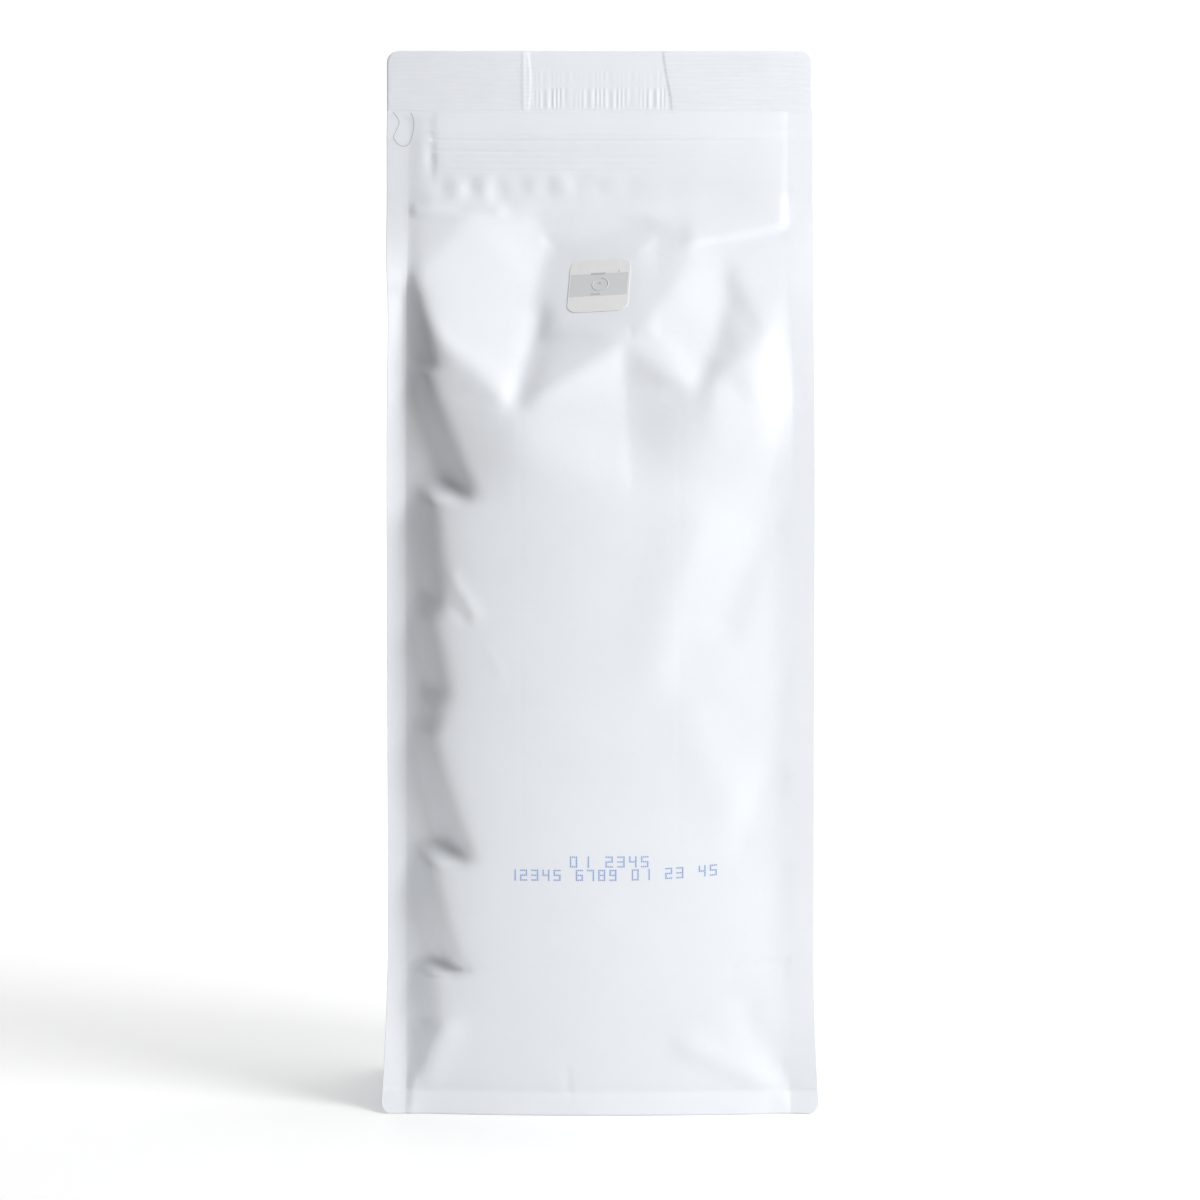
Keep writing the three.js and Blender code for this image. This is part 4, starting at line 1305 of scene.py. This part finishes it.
class CoffeeBagMarks(bpy.types.PropertyGroup):
    """Sizes and colours of the valve label and the printed numbers"""
    label_width: bpy.props.FloatProperty(
        name="Label width", description="Width of the valve label", default=0.02,
        unit="LENGTH", precision=4)
    label_height: bpy.props.FloatProperty(
        name="Label height", description="Height of the valve label", default=0.0216,
        unit="LENGTH", precision=4)
    label_colour: bpy.props.StringProperty(
        name="Label colour", description="Frosted polyester, as sRGB hex", default="#EAEBEA")
    strip_colour: bpy.props.StringProperty(
        name="Strip colour", description="Unglued strip of the label, as sRGB hex", default="#D6D8DA")
    dot_size: bpy.props.FloatProperty(
        name="Dot size", description="Width of one printed dot", default=DOT_SIZE,
        unit="LENGTH", precision=5)
    dot_pitch: bpy.props.FloatProperty(
        name="Dot pitch", description="Spacing of the printed dots", default=DOT_PITCH,
        unit="LENGTH", precision=5)


class CoffeeBagStage(bpy.types.PropertyGroup):
    """The sweep's colours and the lights"""
    floor_colour: bpy.props.StringProperty(
        name="Floor colour", description="Colour of the sweep, as sRGB hex", default="#F4F4F4")
    # Painted shade: the dark paint of the floor at the far left, which keeps light off the bag's left side.
    painted_shade_colour: bpy.props.StringProperty(
        name="Painted shade colour", description="Colour of the covered floor that shades the bag, as sRGB hex",
        default="#505050")
    # Painted light: how much the sweep glows on the floor in front of the bag.
    floor_painted_glow: bpy.props.FloatProperty(
        name="Floor glow", description="Light that comes through the sweep in front of the bag",
        default=0.16, min=0)
    # Painted light: how much the sweep glows on the wall behind the bag.
    wall_painted_glow: bpy.props.FloatProperty(
        name="Wall glow", description="Light that comes through the sweep behind the bag",
        default=0.56, min=0)
    ambient: bpy.props.FloatProperty(
        name="Ambient", description="Even light from all round", default=0.165, min=0)
    left_shade: bpy.props.FloatProperty(
        name="Left shade", description="Share of the even light that comes from the far left",
        default=0.15, min=0, max=1, subtype="FACTOR")
    sky_rise: bpy.props.FloatProperty(
        name="Sky rise", description="How many times brighter the even light is straight above",
        default=4.0, min=0)
    key_power: bpy.props.FloatProperty(
        name="Key power", description="Power of the softbox at the right", default=7.8, min=0,
        unit="POWER")
    key_distance: bpy.props.FloatProperty(
        name="Key distance", description="From the bag's middle to the softbox", default=1.0,
        unit="LENGTH")
    key_azimuth: bpy.props.FloatProperty(
        name="Key azimuth", description="How far to the right of the camera the softbox stands",
        default=math.radians(50), unit="ROTATION")
    key_height: bpy.props.FloatProperty(
        name="Key height", description="How far above the bag's middle the softbox stands",
        default=math.radians(30), unit="ROTATION")
    overhead_power: bpy.props.FloatProperty(
        name="Overhead power", description="Power of the softbox above", default=4.0, min=0,
        unit="POWER")


class COFFEEBAG_OT_film(bpy.types.Operator):
    """Makes the creased film of the bag and its pressed top seal"""
    bl_idname = "coffeebag.film"
    bl_label = "Film and Top Seal"

    def execute(self, context):
        settings = context.scene.coffee_bag_film
        make_film(settings)
        make_seal(settings)
        return {"FINISHED"}


class COFFEEBAG_OT_label(bpy.types.Operator):
    """Makes the degassing valve label"""
    bl_idname = "coffeebag.label"
    bl_label = "Valve Label"

    def execute(self, context):
        make_label(context.scene.coffee_bag_marks)
        return {"FINISHED"}


class COFFEEBAG_OT_marks(bpy.types.Operator):
    """Makes the printed numbers and the cut line of the tear tab"""
    bl_idname = "coffeebag.marks"
    bl_label = "Printed Numbers and Tear Tab"

    def execute(self, context):
        grid = front_map()
        make_code(context.scene.coffee_bag_marks, grid)
        make_tear_tab(grid)
        return {"FINISHED"}


class COFFEEBAG_OT_stage(bpy.types.Operator):
    """Makes the sweep, the lights and the camera"""
    bl_idname = "coffeebag.stage"
    bl_label = "Stage"

    def execute(self, context):
        settings = context.scene.coffee_bag_stage
        make_sweep(settings)
        make_lights(settings)
        make_camera()
        return {"FINISHED"}


OPERATORS = (COFFEEBAG_OT_stage, COFFEEBAG_OT_film, COFFEEBAG_OT_label, COFFEEBAG_OT_marks)


class COFFEEBAG_PT_panel(bpy.types.Panel):
    """Lists the coffee bag's pieces"""
    bl_label = "Coffee Bag"
    bl_idname = "COFFEEBAG_PT_panel"
    bl_space_type = "VIEW_3D"
    bl_region_type = "UI"
    bl_category = "Coffee Bag"

    def draw(self, context):
        for operator in OPERATORS:
            self.layout.operator(operator.bl_idname)
        for group in GROUPS:
            settings = getattr(context.scene, group)
            for name in settings.__annotations__:
                self.layout.prop(settings, name)


GROUPS = {
    "coffee_bag_film": CoffeeBagFilm,
    "coffee_bag_marks": CoffeeBagMarks,
    "coffee_bag_stage": CoffeeBagStage,
}


def register():
    for kind in (*GROUPS.values(), *OPERATORS, COFFEEBAG_PT_panel):
        bpy.utils.register_class(kind)
    for name, group in GROUPS.items():
        setattr(bpy.types.Scene, name, bpy.props.PointerProperty(type=group))


def unregister():
    for name in GROUPS:
        delattr(bpy.types.Scene, name)
    for kind in (COFFEEBAG_PT_panel, *OPERATORS, *GROUPS.values()):
        bpy.utils.unregister_class(kind)


def main():
    register()
    bpy.ops.coffeebag.stage()
    bpy.ops.coffeebag.film()
    bpy.ops.coffeebag.label()
    bpy.ops.coffeebag.marks()


if __name__ == "__main__":
    main()
